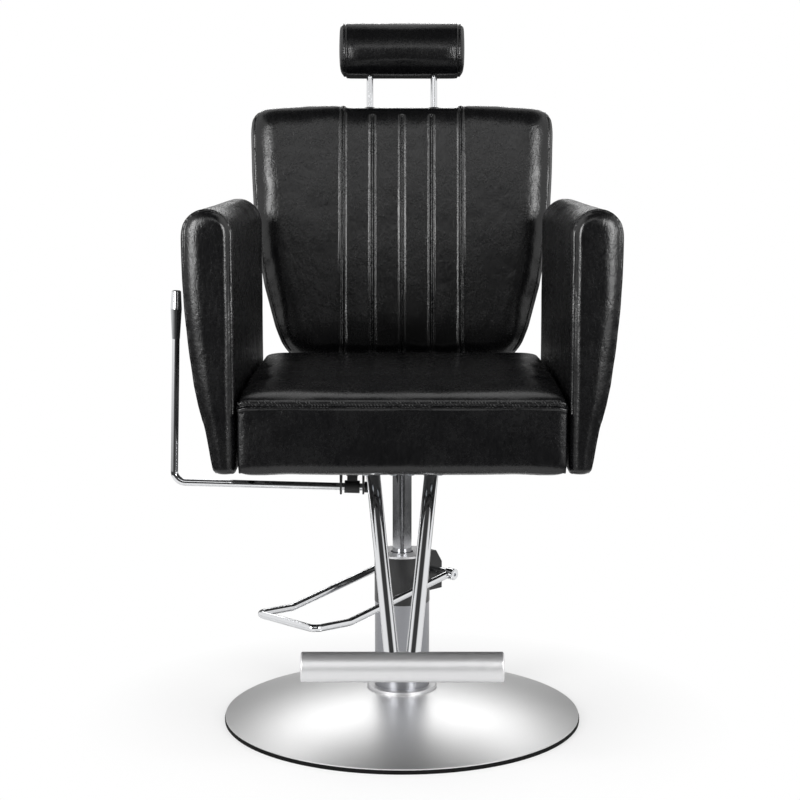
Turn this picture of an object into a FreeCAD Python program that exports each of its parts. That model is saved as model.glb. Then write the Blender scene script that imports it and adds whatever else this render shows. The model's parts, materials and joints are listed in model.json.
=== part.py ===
import FreeCAD, Part
import math
import os

# Hydraulic barber chair, in millimetres.
# +Z is up, the chair faces -Y, +X is the sitter's left, and the origin is the centre of the floor face.
# The sizes below are the ones a designer would set. Everything after them is worked out from them.

# Fits and gaps
running_fit = 0.05
soft_gap = 0.3
# How far a cutting shape runs past the face that it cuts
overcut = 1.0
# How near an edge has to be to the place where it is looked for
touching = 0.01

# Hexagon bolt heads, as shares of the bolt's radius
hex_head_corner = 1.8
hex_head_rise = 1.2

# Round base
base_radius = 300.0
mat_thickness = 5.0
mat_inset = 1.0
rim_lip = 1.5
rim_edge = 2.0
dome_thickness = 2.5
dome_rise = 43.5
land_width = 16.0
column_gap = 1.2
plate_thickness = 6.0
plate_inset = 32.0
neck_ring_width = 13.0
neck_ring_height = 6.0
neck_ring_round = 2.5

# Hydraulic column
column_radius = 46.0
column_wall = 4.0
column_length = 184.0
flange_radius = 85.0
flange_thickness = 8.0
flange_bolt_circle = 68.0
flange_bolt_count = 4
flange_bolt_radius = 5.0
head_skin = 0.5
head_height = 80.0
head_bore = 28.0
top_ring_height = 3.5
top_ring_bore = 27.0
foot_height = 14.0
foot_recess = 6.0
inner_bore = 19.0
inner_wall = 5.0
inner_stand_up = 6.0
bush_length = 53.0
wiper_height = 8.0
ram_radius = 16.0
piston_length = 22.0
piston_end_gap = 5.0
lift_down = 105.0
lift_up = 25.0

# Pump pedal, which leaves the column at 45 degrees towards -X and -Y
pedal_bearing = 225.0
pedal_pivot_back = 45.0
pedal_pivot_z = 252.0
pedal_half_width = 68.0
pedal_kink_reach = 188.0
pedal_kink_z = 211.0
pedal_tip_reach = 262.0
pedal_tip_z = 214.0
pedal_rod_radius = 6.0
pedal_kink_bend = 22.0
pedal_corner_bend = 14.0
pedal_shaft_radius = 7.0
pedal_shaft_over = 12.0
socket_hex_radius = 3.2
socket_depth = 7.0
boss_reach = 72.0
boss_half_width = 24.0
boss_bottom_z = 216.0
boss_chamfer_run = 14.0
boss_chamfer_drop = 21.0
pocket_half_width = 11.0
pocket_wall = 5.0
pocket_bottom_z = 238.0
pocket_top_z = 264.0
cam_half_width = 5.0
cam_hub_radius = 9.2
cam_arm = 12.0
cam_nose_radius = 4.0
plunger_radius = 3.5
plunger_length = 12.7
plunger_bore_depth = 11.0
return_wire_radius = 0.6
return_coil_turns = 2
return_coil_gap = 0.4

# Ram head and mounting plate
seat_bottom_z = 469.0
top_plate_x = 220.0
top_plate_y = 240.0
top_plate_thickness = 6.0
plate_bolt_x = 85.0
plate_bolt_y = 95.0
plate_bolt_radius = 4.0
socket_height = 33.0
socket_wall = 12.0
socket_flare = 10.0
socket_roof = 8.0
washer_thickness = 2.0
washer_inset = 1.0
plate_bolt_skin = 2.0

# Seat
seat_front_y = -270.0
seat_rear_y = 270.0
seat_half_front = 256.0
seat_half_rear = 247.0
seat_front_top = 572.0
seat_crown_z = 601.0
seat_rear_top = 597.0
seat_side_drop = 9.0
seat_corner_round = 16.0
cover_thickness = 3.0
board_thickness = 18.0
frame_rail = 20.0
frame_height = 60.0
deck_thickness = 8.0
frame_inset = 12.0

# Arms
arm_front_y = -276.0
arm_rear_y = 252.0
arm_top_z = 869.0
arm_bottom_z = 470.0
arm_width = 80.0
arm_waist_z = 692.0
arm_waist_width = 75.0
arm_tuck_z = 533.0
arm_tuck_width = 48.0
arm_foot_width = 37.0
arm_front_puff = 14.0
arm_bolt_radius = 4.0
arm_bolt_y = 120.0
arm_bolt_z = 520.0
arm_bolt_depth = 26.0
arm_bolt_head = 4.5

# Backrest
back_lean = 11.0
back_front_y = 280.0
back_foot_z = 592.0
back_depth = 96.0
back_height = 462.0
back_drop = 14.0
back_half_top = 282.0
back_half_foot = 212.0
back_corner_round = 20.0
channel_pitch = 53.5
channel_puff = 4.0
side_puff = 7.0
channel_sink = 4.0
back_board_depth = 66.0
back_board_thickness = 12.0
back_board_inset = 22.0
bar_half_spacing = 150.0
bar_width = 40.0
bar_thickness = 5.0
bar_up = 160.0
bar_down = 45.0
lug_thickness = 6.0
lug_half_depth = 14.0
lug_overlap = 10.0
eye_wall = 7.0

# Recline hinge and its limits
hinge_y = 335.0
hinge_z = 490.0
hinge_pin_radius = 6.0
hinge_tube_wall = 3.0
recline_limit = 40.0
bracket_gap = 1.0
bracket_thickness = 6.0
bracket_fore = 130.0
bracket_drop = 24.0
bracket_foot_width = 34.0
bracket_rear_gap = 4.0
bracket_waist = 16.0
bracket_tail = 20.0
bracket_heel = 6.0
hinge_pin_length = 42.0
hinge_pin_head = 5.0
hinge_pin_head_lip = 4.0

# Recline lock: a gas strut under the seat
strut_x = -82.5
strut_front_y = -25.0
strut_front_z = 433.0
crank_back = 3.0
crank_down = 45.0
crank_pin_radius = 4.0
crank_pin_slack = 2.5
crank_pin_proud = 2.0
crank_half_width = 8.0
crank_plate = 5.0
crank_side_gap = 3.0
strut_cylinder_radius = 11.0
strut_rod_radius = 5.0
strut_cylinder_start = 120.0
strut_cylinder_length = 215.0
strut_bore_depth = 110.0
strut_rod_end = 200.0
strut_head_length = 26.0
strut_head_width = 20.0
strut_eye_radius = 11.0
strut_eye_width = 8.0
release_pin_radius = 3.0
release_pin_inner = 8.0
release_travel = 6.0
release_gap = 0.3
strut_pin_inner = 5.0
strut_neck_radius = 6.0

# Recline lever on the picture's left side
lever_y = -50.0
lever_z = 406.5
lever_slope = 1.6
lever_rod_radius = 6.0
lever_bend = 18.0
lever_reach = 293.5
lever_inner_end = 25.5
lever_grip_z = 644.0
lever_top_z = 723.0
grip_belly_z = 693.0
grip_top_round = 1.5
grip_top_radius = 7.5
grip_belly_radius = 9.0
grip_foot_radius = 6.4
cam_block_radius = 10.5
cam_block_half = 12.5
cam_neck_half = 8.5
cam_neck_radius = 4.0
ear_half_gap = 17.0
ear_thickness = 3.0
ear_front_y = -70.0
ear_rear_y = -5.0
ear_bottom_z = 395.0
ear_foot_half = 7.0
ear_corner = 6.0
ear_shoulder_z = 419.0
collar_gap = 0.5
collar_radius = 9.0
collar_length = 6.0

# Footrest
footrest_bar_y = -400.0
footrest_bar_z = 201.0
footrest_bar_radius = 22.5
footrest_bar_length = 301.0
footrest_bar_wall = 2.0
footrest_rod_radius = 11.0
footrest_rod_foot_x = 15.0
footrest_rod_foot_up = 8.0
footrest_rod_top_x = 46.0
footrest_rod_top_y = -190.0
footrest_rod_top_z = 455.0
footrest_socket_wall = 3.0
footrest_socket_depth = 26.0
footrest_plate_x = 140.0
footrest_plate_y = 100.0
footrest_plate_thickness = 6.0
end_cap_thickness = 4.0
end_cap_round = 3.0
end_cap_plug = 12.0

# Headrest
post_half_spacing = 59.0
post_radius = 6.0
post_depth = 47.0
post_tail = 142.0
post_tail_room = 5.0
post_room = 1.0
guide_length = 110.0
guide_wall = 3.0
guide_lip = 1.5
headrest_gap = 52.0
headrest_height = 100.0
headrest_depth = 95.0
headrest_half_width = 113.5
headrest_end_puff = 12.0
headrest_core_x = 160.0
headrest_core_height = 60.0
headrest_core_depth = 20.0
headrest_down = 40.0
headrest_up = 50.0

os.makedirs("parts", exist_ok=True)


def vec(x, y, z):
    return FreeCAD.Vector(x, y, z)


def save(shape, node):
    shape.exportStep("parts/" + node + ".step")


def box(x0, x1, y0, y1, z0, z1):
    return Part.makeBox(x1 - x0, y1 - y0, z1 - z0, vec(x0, y0, z0))


def rod(start, end, radius):
    along = end - start
    return Part.makeCylinder(radius, along.Length, start, along)


def ring(outer, inner, z0, z1):
    solid = Part.makeCylinder(outer, z1 - z0, vec(0, 0, z0))
    return solid.cut(Part.makeCylinder(inner, z1 - z0 + 2 * overcut, vec(0, 0, z0 - overcut)))


def hexagon(centre, across, z0, z1):
    points = []
    for corner in range(7):
        angle = math.radians(60 * corner)
        points.append(vec(centre.x + across * math.cos(angle), centre.y + across * math.sin(angle), z0))
    return Part.Face(Part.makePolygon(points)).extrude(vec(0, 0, z1 - z0))


def plate_across_x(points, x0, x1):
    """A plate whose outline is a list of (y, z) points, from x0 to x1."""
    corners = [vec(x0, y, z) for y, z in points + points[:1]]
    return Part.Face(Part.makePolygon(corners)).extrude(vec(x1 - x0, 0, 0))


def line(a, b):
    return Part.LineSegment(a, b).toShape()


def arc(a, middle, b):
    return Part.Arc(a, middle, b).toShape()


def corner_arc(start, corner, end):
    """The arc that leaves start and reaches end along the lines to their corner, both as far from it."""
    towards = (start - corner).normalize()
    away = (end - corner).normalize()
    half_angle = towards.getAngle(away) / 2
    bend = (start - corner).Length * math.tan(half_angle)
    middle_way = (towards + away).normalize()
    return arc(start, corner + middle_way * (bend / math.sin(half_angle) - bend), end)


def rounded_path(points, bends):
    """Straight runs joined by tangent arcs, one bend radius for each inner point."""
    edges = []
    start = points[0]
    for index, bend in enumerate(bends):
        before, corner, after = points[index], points[index + 1], points[index + 2]
        towards = (before - corner).normalize()
        away = (after - corner).normalize()
        back_off = bend / math.tan(towards.getAngle(away) / 2)
        arc_start = corner + towards * back_off
        arc_end = corner + away * back_off
        edges.append(line(start, arc_start))
        edges.append(corner_arc(arc_start, corner, arc_end))
        start = arc_end
    edges.append(line(start, points[-1]))
    return Part.Wire(edges)


def coil_path(radius, pitch, turns):
    """A coil about Z as pairs of tangent arcs, one pair for each quarter turn."""
    rise = pitch / (2 * math.pi)

    def place(angle):
        return vec(radius * math.cos(angle), radius * math.sin(angle), rise * angle)

    def heading(angle):
        return vec(-radius * math.sin(angle), radius * math.cos(angle), rise).normalize()

    edges = []
    for quarter in range(4 * turns):
        first = quarter * math.pi / 2
        last = first + math.pi / 2
        start, end = place(first), place(last)
        leaving, arriving = heading(first), heading(last)
        chord = end - start
        both = leaving + arriving
        bending = 2 * (1 - leaving.dot(arriving))
        along = chord.dot(both)
        reach = (math.sqrt(along ** 2 + bending * chord.dot(chord)) - along) / bending
        first_corner = start + leaving * reach
        second_corner = end - arriving * reach
        join = (first_corner + second_corner) * 0.5
        edges.append(corner_arc(start, first_corner, join))
        edges.append(corner_arc(join, second_corner, end))
    return Part.Wire(edges)


def least_gap(path, turns, radius):
    """The least gap of a coiled tube to itself, measured between points half a turn or more apart."""
    half_turn = 24
    points = path.discretize(Number=2 * half_turn * turns + 1)
    apart = [
        point.distanceToPoint(other)
        for index, point in enumerate(points)
        for other in points[index + half_turn:]
    ]
    return min(apart) - 2 * radius


def bent_rod(points, bends, radius):
    path = rounded_path(points, bends)
    profile = Part.Wire(Part.makeCircle(radius, points[0], points[1] - points[0]))
    solid = path.makePipeShell([profile], True, False)
    return solid


def both_sides(shape):
    """The shape and its mirror image across the chair's middle, as one group."""
    return Part.makeCompound([shape, mirrored(shape)])


def mirrored(shape):
    return shape.mirror(vec(0, 0, 0), vec(1, 0, 0))


def cut_all(shape, tools):
    for tool in tools:
        shape = shape.cut(tool)
    return shape


# Heights of the base and the column, from the floor up
plate_top = mat_thickness + plate_thickness
flange_top = plate_top + flange_thickness
head_bottom = flange_top + column_length
head_top = head_bottom + head_height
ring_top = head_top + top_ring_height
rim_top = mat_thickness + rim_lip + rim_edge
land_z = rim_top + dome_rise
column_hole = column_radius + column_gap
land_radius = column_radius + land_width


def dome_height(radius, top, foot):
    """Height of the spherical cap at a radius."""
    share = (base_radius ** 2 - radius ** 2) / (base_radius ** 2 - land_radius ** 2)
    return foot + (top - foot) * share


def make_base():
    mat = Part.makeCylinder(base_radius - mat_inset, mat_thickness)
    save(mat, "floor_mat")

    bolt_places = []
    for number in range(flange_bolt_count):
        angle = math.radians(360 * (number + 0.5) / flange_bolt_count)
        place = vec(flange_bolt_circle * math.cos(angle), flange_bolt_circle * math.sin(angle), 0)
        bolt_places.append(place)
    plate = Part.makeCylinder(base_radius - plate_inset, plate_thickness, vec(0, 0, mat_thickness))
    flange = Part.makeCylinder(flange_radius, flange_thickness, vec(0, 0, plate_top))
    bolts = []
    for place in bolt_places:
        hole = Part.makeCylinder(flange_bolt_radius + running_fit, flange_top, place)
        plate = plate.cut(hole)
        flange = flange.cut(hole)
        low = vec(place.x, place.y, mat_thickness)
        shank = Part.makeCylinder(flange_bolt_radius, flange_top - mat_thickness, low)
        head_top_z = flange_top + hex_head_rise * flange_bolt_radius
        head = hexagon(place, hex_head_corner * flange_bolt_radius, flange_top, head_top_z)
        bolts.append(shank.fuse(head).removeSplitter())
    save(plate, "base_plate")
    save(flange, "pump_flange")
    save(Part.makeCompound(bolts), "flange_bolts")

    inner_rim = base_radius - dome_thickness
    mid = (base_radius + land_radius) / 2
    low_inner = rim_top - rim_edge
    high_inner = land_z - dome_thickness
    dome_middle = vec(mid, 0, dome_height(mid, land_z, rim_top))
    outline = [
        line(vec(base_radius, 0, mat_thickness), vec(base_radius, 0, rim_top)),
        arc(vec(base_radius, 0, rim_top), dome_middle, vec(land_radius, 0, land_z)),
        line(vec(land_radius, 0, land_z), vec(column_hole, 0, land_z)),
        line(vec(column_hole, 0, land_z), vec(column_hole, 0, high_inner)),
        line(vec(column_hole, 0, high_inner), vec(land_radius, 0, high_inner)),
        arc(
            vec(land_radius, 0, high_inner),
            vec(mid, 0, dome_height(mid, high_inner, low_inner)),
            vec(inner_rim, 0, low_inner),
        ),
        line(vec(inner_rim, 0, low_inner), vec(inner_rim, 0, mat_thickness)),
        line(vec(inner_rim, 0, mat_thickness), vec(base_radius, 0, mat_thickness)),
    ]
    dome = Part.Face(Part.Wire(outline)).revolve(vec(0, 0, 0), vec(0, 0, 1), 360)
    save(dome, "base_dome")

    neck_radius = column_radius + neck_ring_width
    neck_top = land_z + neck_ring_height
    neck = ring(neck_radius, column_radius + running_fit, land_z, neck_top)
    top_edge = [
        edge
        for edge in neck.Edges
        if abs(edge.BoundBox.ZMin - neck_top) < touching and abs(edge.BoundBox.XMax - neck_radius) < touching
    ]
    save(neck.makeFillet(neck_ring_round, top_edge), "neck_ring")


# Plan directions of the pedal: along it, and across it towards the picture's right
along_pedal = vec(math.cos(math.radians(pedal_bearing)), math.sin(math.radians(pedal_bearing)), 0)
across_pedal = vec(-along_pedal.y, along_pedal.x, 0)


def at_pedal(reach, across, z):
    """A point by its reach along the pedal, its place across it and its height."""
    place = along_pedal * reach + across_pedal * across
    return vec(place.x, place.y, z)


def pedal_block(reach0, reach1, half_width, z0, z1):
    corners = [at_pedal(r, a, z0) for r, a in ((reach0, -half_width), (reach1, -half_width))]
    corners += [at_pedal(r, a, z0) for r, a in ((reach1, half_width), (reach0, half_width))]
    return Part.Face(Part.makePolygon(corners + corners[:1])).extrude(vec(0, 0, z1 - z0))


def make_column():
    tube = ring(column_radius, column_radius - column_wall, flange_top, head_bottom)
    save(tube, "pump_cylinder")

    foot_radius = column_radius - column_wall - soft_gap
    foot = Part.makeCylinder(foot_radius, foot_height, vec(0, 0, flange_top))
    recess_z = flange_top + foot_height - foot_recess
    inner_radius = inner_bore + inner_wall
    foot = foot.cut(Part.makeCylinder(inner_radius + running_fit, foot_recess + overcut, vec(0, 0, recess_z)))
    save(foot, "cylinder_foot")
    inner_top = head_bottom + inner_stand_up
    save(ring(inner_radius, inner_bore, recess_z, inner_top), "inner_cylinder")

    head_radius = column_radius + head_skin
    boss = pedal_block(-boss_reach, -head_bore, boss_half_width, boss_bottom_z, head_top)
    boss_side = -boss_half_width - overcut
    boss_end = -boss_reach - overcut
    chamfer_start = -boss_reach + boss_chamfer_run
    chamfer_end_z = head_top - boss_chamfer_drop * (1 + overcut / boss_chamfer_run)
    slope = [
        at_pedal(chamfer_start, boss_side, head_top),
        at_pedal(boss_end, boss_side, chamfer_end_z),
        at_pedal(boss_end, boss_side, head_top + overcut),
        at_pedal(chamfer_start, boss_side, head_top + overcut),
    ]
    slope_cut = Part.Face(Part.makePolygon(slope + slope[:1])).extrude(across_pedal * (-2 * boss_side))
    boss = boss.cut(slope_cut)
    head = Part.makeCylinder(head_radius, head_height, vec(0, 0, head_bottom)).fuse(boss)
    bore = Part.makeCylinder(head_bore, head_height + 2 * overcut, vec(0, 0, head_bottom - overcut))
    pocket = pedal_block(boss_end, -head_bore - pocket_wall, pocket_half_width, pocket_bottom_z, pocket_top_z)
    shaft_bore = rod(
        at_pedal(-pedal_pivot_back, -column_radius - overcut, pedal_pivot_z),
        at_pedal(-pedal_pivot_back, column_radius + overcut, pedal_pivot_z),
        pedal_shaft_radius + running_fit,
    )
    plunger_foot = at_pedal(-pedal_pivot_back - cam_arm, 0, pocket_top_z - overcut)
    plunger_bore = Part.makeCylinder(plunger_radius + running_fit, plunger_bore_depth + overcut, plunger_foot)
    head = cut_all(head, [bore, pocket, shaft_bore, plunger_bore]).removeSplitter()
    save(head, "pump_head")

    save(ring(head_radius, top_ring_bore, head_top, ring_top), "top_ring")
    bush = ring(head_bore - running_fit, ram_radius + running_fit, inner_top, inner_top + bush_length)
    save(bush, "ram_bush")
    wiper_bottom = inner_top + bush_length
    wiper = ring(head_bore - running_fit, ram_radius + running_fit, wiper_bottom, wiper_bottom + wiper_height)
    save(wiper, "wiper_seal")


# Ram: its top is held in the ram head under the mounting plate
plate_bottom = seat_bottom_z - top_plate_thickness
socket_bottom = plate_bottom - socket_height
washer_top = plate_bottom - socket_roof
ram_top = washer_top - washer_thickness
cylinder_floor = flange_top + foot_height - foot_recess
piston_bottom = cylinder_floor + foot_recess + lift_down + piston_end_gap


def make_ram():
    save(Part.makeCylinder(ram_radius, ram_top - piston_bottom, vec(0, 0, piston_bottom)), "ram")
    piston = ring(
        inner_bore - 2 * running_fit, ram_radius + running_fit, piston_bottom, piston_bottom + piston_length
    )
    save(piston, "ram_piston")
    save(Part.makeCylinder(ram_radius - washer_inset, washer_thickness, vec(0, 0, ram_top)), "thrust_washer")


def make_pedal():
    near = pedal_half_width
    points = [
        at_pedal(-pedal_pivot_back, near, pedal_pivot_z),
        at_pedal(pedal_kink_reach, near, pedal_kink_z),
        at_pedal(pedal_tip_reach, near, pedal_tip_z),
        at_pedal(pedal_tip_reach, -near, pedal_tip_z),
        at_pedal(pedal_kink_reach, -near, pedal_kink_z),
        at_pedal(-pedal_pivot_back, -near, pedal_pivot_z),
    ]
    bends = [pedal_kink_bend, pedal_corner_bend, pedal_corner_bend, pedal_kink_bend]
    loop = bent_rod(points, bends, pedal_rod_radius)
    shaft_end = near + pedal_shaft_over
    left_end = at_pedal(-pedal_pivot_back, -shaft_end, pedal_pivot_z)
    right_end = at_pedal(-pedal_pivot_back, shaft_end, pedal_pivot_z)
    shaft_space = rod(left_end, right_end, pedal_shaft_radius)
    # The rod ends are coped to the shaft, and the offcuts inside its far wall are left behind
    loop = max(loop.cut(shaft_space).Solids, key=lambda solid: solid.Volume)
    save(loop, "pump_pedal")
    shaft = shaft_space
    for end, inward in ((right_end, across_pedal * -1), (left_end, across_pedal)):
        mouth = end - inward * overcut
        corners = []
        for corner in range(7):
            angle = math.radians(60 * corner)
            sideways = along_pedal * (socket_hex_radius * math.cos(angle))
            corners.append(mouth + sideways + vec(0, 0, socket_hex_radius * math.sin(angle)))
        hole = Part.Face(Part.makePolygon(corners)).extrude(inward * (socket_depth + overcut))
        shaft = shaft.cut(hole)
    save(shaft, "pedal_shaft")

    hub_left = at_pedal(-pedal_pivot_back, -cam_half_width, pedal_pivot_z)
    hub_right = at_pedal(-pedal_pivot_back, cam_half_width, pedal_pivot_z)
    nose_left = at_pedal(-pedal_pivot_back - cam_arm, -cam_half_width, pedal_pivot_z)
    nose_right = at_pedal(-pedal_pivot_back - cam_arm, cam_half_width, pedal_pivot_z)
    web = pedal_block(
        -pedal_pivot_back - cam_arm,
        -pedal_pivot_back,
        cam_half_width,
        pedal_pivot_z - cam_nose_radius,
        pedal_pivot_z + cam_nose_radius,
    )
    cam = rod(hub_left, hub_right, cam_hub_radius).fuse(rod(nose_left, nose_right, cam_nose_radius)).fuse(web)
    cam = cam.cut(rod(left_end, right_end, pedal_shaft_radius)).removeSplitter()
    save(cam, "pedal_cam")

    plunger_bottom = pedal_pivot_z + cam_nose_radius + release_gap
    plunger_place = at_pedal(-pedal_pivot_back - cam_arm, 0, plunger_bottom)
    save(Part.makeCylinder(plunger_radius, plunger_length, plunger_place), "pump_plunger")

    coil_radius = pedal_shaft_radius + running_fit + 2 * return_wire_radius
    coil_room = pocket_half_width - cam_half_width - 2 * return_wire_radius - 2 * return_coil_gap
    path = coil_path(coil_radius, coil_room / return_coil_turns, return_coil_turns)
    start = path.Edges[0].firstVertex().Point
    heading = path.Edges[0].tangentAt(path.Edges[0].FirstParameter)
    profile = Part.Wire(Part.makeCircle(return_wire_radius, start, heading))
    coil = path.makePipeShell([profile], True, False)
    coil_gap = least_gap(path, return_coil_turns, return_wire_radius)
    print("pedal return spring, least gap to itself in mm:", round(coil_gap, 3))
    turn =FreeCAD.Rotation(vec(0, 0, 1), across_pedal)
    middle = at_pedal(-pedal_pivot_back, cam_half_width + return_coil_gap + return_wire_radius, pedal_pivot_z)
    coil.Placement = FreeCAD.Placement(middle, turn)
    save(coil, "pedal_return_spring")


def make_ram_head():
    half_x = top_plate_x / 2
    half_y = top_plate_y / 2
    plate = box(-half_x, half_x, -half_y, half_y, plate_bottom, seat_bottom_z)
    low_radius = ram_radius + socket_wall
    socket = Part.makeCone(low_radius, low_radius + socket_flare, socket_height, vec(0, 0, socket_bottom))
    bore_height = washer_top - socket_bottom
    bore_foot = vec(0, 0, socket_bottom - overcut)
    bore = Part.makeCylinder(ram_radius + running_fit, bore_height + overcut, bore_foot)
    save(socket.cut(bore), "ram_head")
    bolts = []
    for x in (-plate_bolt_x, plate_bolt_x):
        for y in (-plate_bolt_y, plate_bolt_y):
            hole_foot = vec(x, y, plate_bottom - overcut)
            hole_length = top_plate_thickness + 2 * overcut
            plate = plate.cut(Part.makeCylinder(plate_bolt_radius + running_fit, hole_length, hole_foot))
            bolts.append(plate_bolt(x, y))
    save(plate, "mounting_plate")
    save(Part.makeCompound(bolts), "plate_bolts")


def plate_bolt(x, y):
    head_foot_z = plate_bottom - hex_head_rise * plate_bolt_radius
    head = hexagon(vec(x, y, 0), hex_head_corner * plate_bolt_radius, head_foot_z, plate_bottom)
    shank_length = top_plate_thickness + board_thickness - plate_bolt_skin
    shank = Part.makeCylinder(plate_bolt_radius, shank_length, vec(x, y, plate_bottom))
    return head.fuse(shank).removeSplitter()


# Seat, between the arms' inner faces
def arm_inner_x(y):
    share = (y - seat_front_y) / (seat_rear_y - seat_front_y)
    return seat_half_front + (seat_half_rear - seat_half_front) * share


def seat_section(y, side_in, top_side, top_middle, bottom):
    """Rounded box section across the seat with a crowned top."""
    half = arm_inner_x(y) - soft_gap - side_in
    bend = seat_corner_round
    lean = 0.3 * bend
    corner_l = vec(-half + lean, y, top_side - lean)
    corner_r = vec(half - lean, y, top_side - lean)
    edges = [
        line(vec(-half, y, bottom), vec(half, y, bottom)),
        line(vec(half, y, bottom), vec(half, y, top_side - bend)),
        arc(vec(half, y, top_side - bend), corner_r, vec(half - bend, y, top_side)),
        arc(vec(half - bend, y, top_side), vec(0, y, top_middle), vec(-half + bend, y, top_side)),
        arc(vec(-half + bend, y, top_side), corner_l, vec(-half, y, top_side - bend)),
        line(vec(-half, y, top_side - bend), vec(-half, y, bottom)),
    ]
    return Part.Wire(edges)


def seat_form(inset, bottom):
    """The upholstered seat, or the same form drawn in by an inset."""
    length = seat_rear_y - seat_front_y
    crown = seat_crown_z
    sections = []
    # Share of the length, draw-in of each side, height of the middle
    stations = (
        (0.0, 4.0, seat_front_top),
        (0.008, 1.0, seat_front_top + 0.32 * (crown - seat_front_top)),
        (0.037, 0.0, seat_front_top + 0.55 * (crown - seat_front_top)),
        (0.15, 0.0, seat_front_top + 0.80 * (crown - seat_front_top)),
        (0.45, 0.0, crown),
        (0.80, 0.0, crown - 0.3 * (crown - seat_rear_top)),
        (0.965, 0.0, seat_rear_top),
        (0.992, 2.0, seat_rear_top - 8.0),
        (1.0, 6.0, seat_rear_top - 16.0),
    )
    for share, side_in, middle in stations:
        y = seat_front_y + inset + share * (length - 2 * inset)
        side = middle - seat_side_drop - inset
        sections.append(seat_section(y, side_in + inset, side, middle - inset, bottom))
    return Part.makeLoft(sections, True, True)


frame_top = seat_bottom_z + board_thickness + frame_height
deck_top = frame_top + deck_thickness


def seat_block(inset, z0, z1):
    """A straight block that follows the seat's plan, drawn in by an inset."""
    front = seat_front_y + inset
    rear = seat_rear_y - inset
    corners = [
        vec(-arm_inner_x(front) + inset, front, z0),
        vec(arm_inner_x(front) - inset, front, z0),
        vec(arm_inner_x(rear) - inset, rear, z0),
        vec(-arm_inner_x(rear) + inset, rear, z0),
    ]
    return Part.Face(Part.makePolygon(corners + corners[:1])).extrude(vec(0, 0, z1 - z0))


def arm_bolt_line(y, x0, x1, radius):
    return rod(vec(x0, y, arm_bolt_z), vec(x1, y, arm_bolt_z), radius)


def make_seat():
    board = seat_block(frame_inset, seat_bottom_z, seat_bottom_z + board_thickness)
    for x in (-plate_bolt_x, plate_bolt_x):
        for y in (-plate_bolt_y, plate_bolt_y):
            hole_foot = vec(x, y, seat_bottom_z)
            hole_depth = board_thickness - plate_bolt_skin
            board = board.cut(Part.makeCylinder(plate_bolt_radius + running_fit, hole_depth, hole_foot))
    save(board, "seat_board")

    frame = seat_block(frame_inset, seat_bottom_z + board_thickness, deck_top)
    hollow = seat_block(frame_inset + frame_rail, seat_bottom_z + board_thickness - overcut, frame_top)
    frame = frame.cut(hollow)
    inner = seat_form(cover_thickness, seat_bottom_z - overcut)
    foam = seat_form(cover_thickness + soft_gap, seat_bottom_z)
    foam = foam.cut(seat_block(frame_inset - soft_gap, seat_bottom_z - overcut, deck_top))
    cover = seat_form(0, seat_bottom_z).cut(inner)
    for y in (-arm_bolt_y, arm_bolt_y):
        reach = arm_inner_x(y) + overcut
        hole = arm_bolt_line(y, -reach, reach, arm_bolt_radius + running_fit)
        frame = frame.cut(hole)
        foam = foam.cut(hole)
        cover = cover.cut(hole)
    save(frame, "seat_frame")
    save(foam, "seat_foam")
    save(cover, "seat_cover")


def arm_section(y, inset):
    """The arm's outline seen from the front, on the +X side, drawn in by an inset."""
    base = arm_inner_x(y)
    inner = base + inset
    half = arm_width / 2 - inset
    top = arm_top_z - inset
    bottom = arm_bottom_z + inset
    centre_x = base + arm_width / 2
    centre_z = arm_top_z - arm_width / 2
    slant = math.sqrt(0.5) * half
    widest = vec(centre_x + half, y, centre_z)
    waist = vec(base + arm_waist_width - inset, y, arm_waist_z)
    tuck = vec(base + arm_tuck_width - inset, y, arm_tuck_z)
    foot = vec(base + arm_foot_width - inset, y, bottom)
    edges = [
        line(vec(inner, y, bottom), vec(inner, y, centre_z)),
        arc(vec(inner, y, centre_z), vec(centre_x - slant, y, centre_z + slant), vec(centre_x, y, top)),
        arc(vec(centre_x, y, top), vec(centre_x + slant, y, centre_z + slant), widest),
        arc(widest, waist, tuck),
        line(tuck, foot),
        line(foot, vec(inner, y, bottom)),
    ]
    return Part.Wire(edges)


def arm_form(inset):
    """The upholstered arm on the +X side, with a puffed front and a rounded rear end."""
    puff = arm_front_puff
    # Place along the arm, draw-in of the outline there
    stations = (
        (arm_front_y + inset, puff),
        (arm_front_y + 0.22 * puff + inset, 0.42 * puff),
        (arm_front_y + 0.6 * puff + inset, 0.1 * puff),
        (arm_front_y + puff + inset, 0.0),
        (0.5 * (arm_front_y + arm_rear_y), 0.0),
        (arm_rear_y - puff - inset, 0.0),
        (arm_rear_y - 0.45 * puff - inset, 0.18 * puff),
        (arm_rear_y - 0.1 * puff - inset, 0.6 * puff),
        (arm_rear_y - inset, puff),
    )
    return Part.makeLoft([arm_section(y, inset + extra) for y, extra in stations], True, True)


def make_arms():
    cover = arm_form(0).cut(arm_form(cover_thickness))
    core = arm_form(cover_thickness + soft_gap)
    bolts = []
    for y in (-arm_bolt_y, arm_bolt_y):
        bolt_start = arm_inner_x(y) - frame_inset - frame_rail
        bolt_end = arm_inner_x(y) + arm_bolt_depth
        hole = arm_bolt_line(y, bolt_start, bolt_end, arm_bolt_radius + running_fit)
        cover = cover.cut(hole)
        core = core.cut(hole)
        bolt = arm_bolt_line(y, bolt_start - soft_gap, bolt_end, arm_bolt_radius)
        head_face = bolt_start - soft_gap
        head = arm_bolt_line(y, head_face - arm_bolt_head, head_face, 2 * arm_bolt_radius)
        bolts.append(bolt.fuse(head).removeSplitter())
    save(cover, "arm_cover_left")
    save(mirrored(cover), "arm_cover_right")
    save(core, "arm_core_left")
    save(mirrored(core), "arm_core_right")
    save(Part.makeCompound(bolts + [mirrored(bolt) for bolt in bolts]), "arm_bolts")


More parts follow.
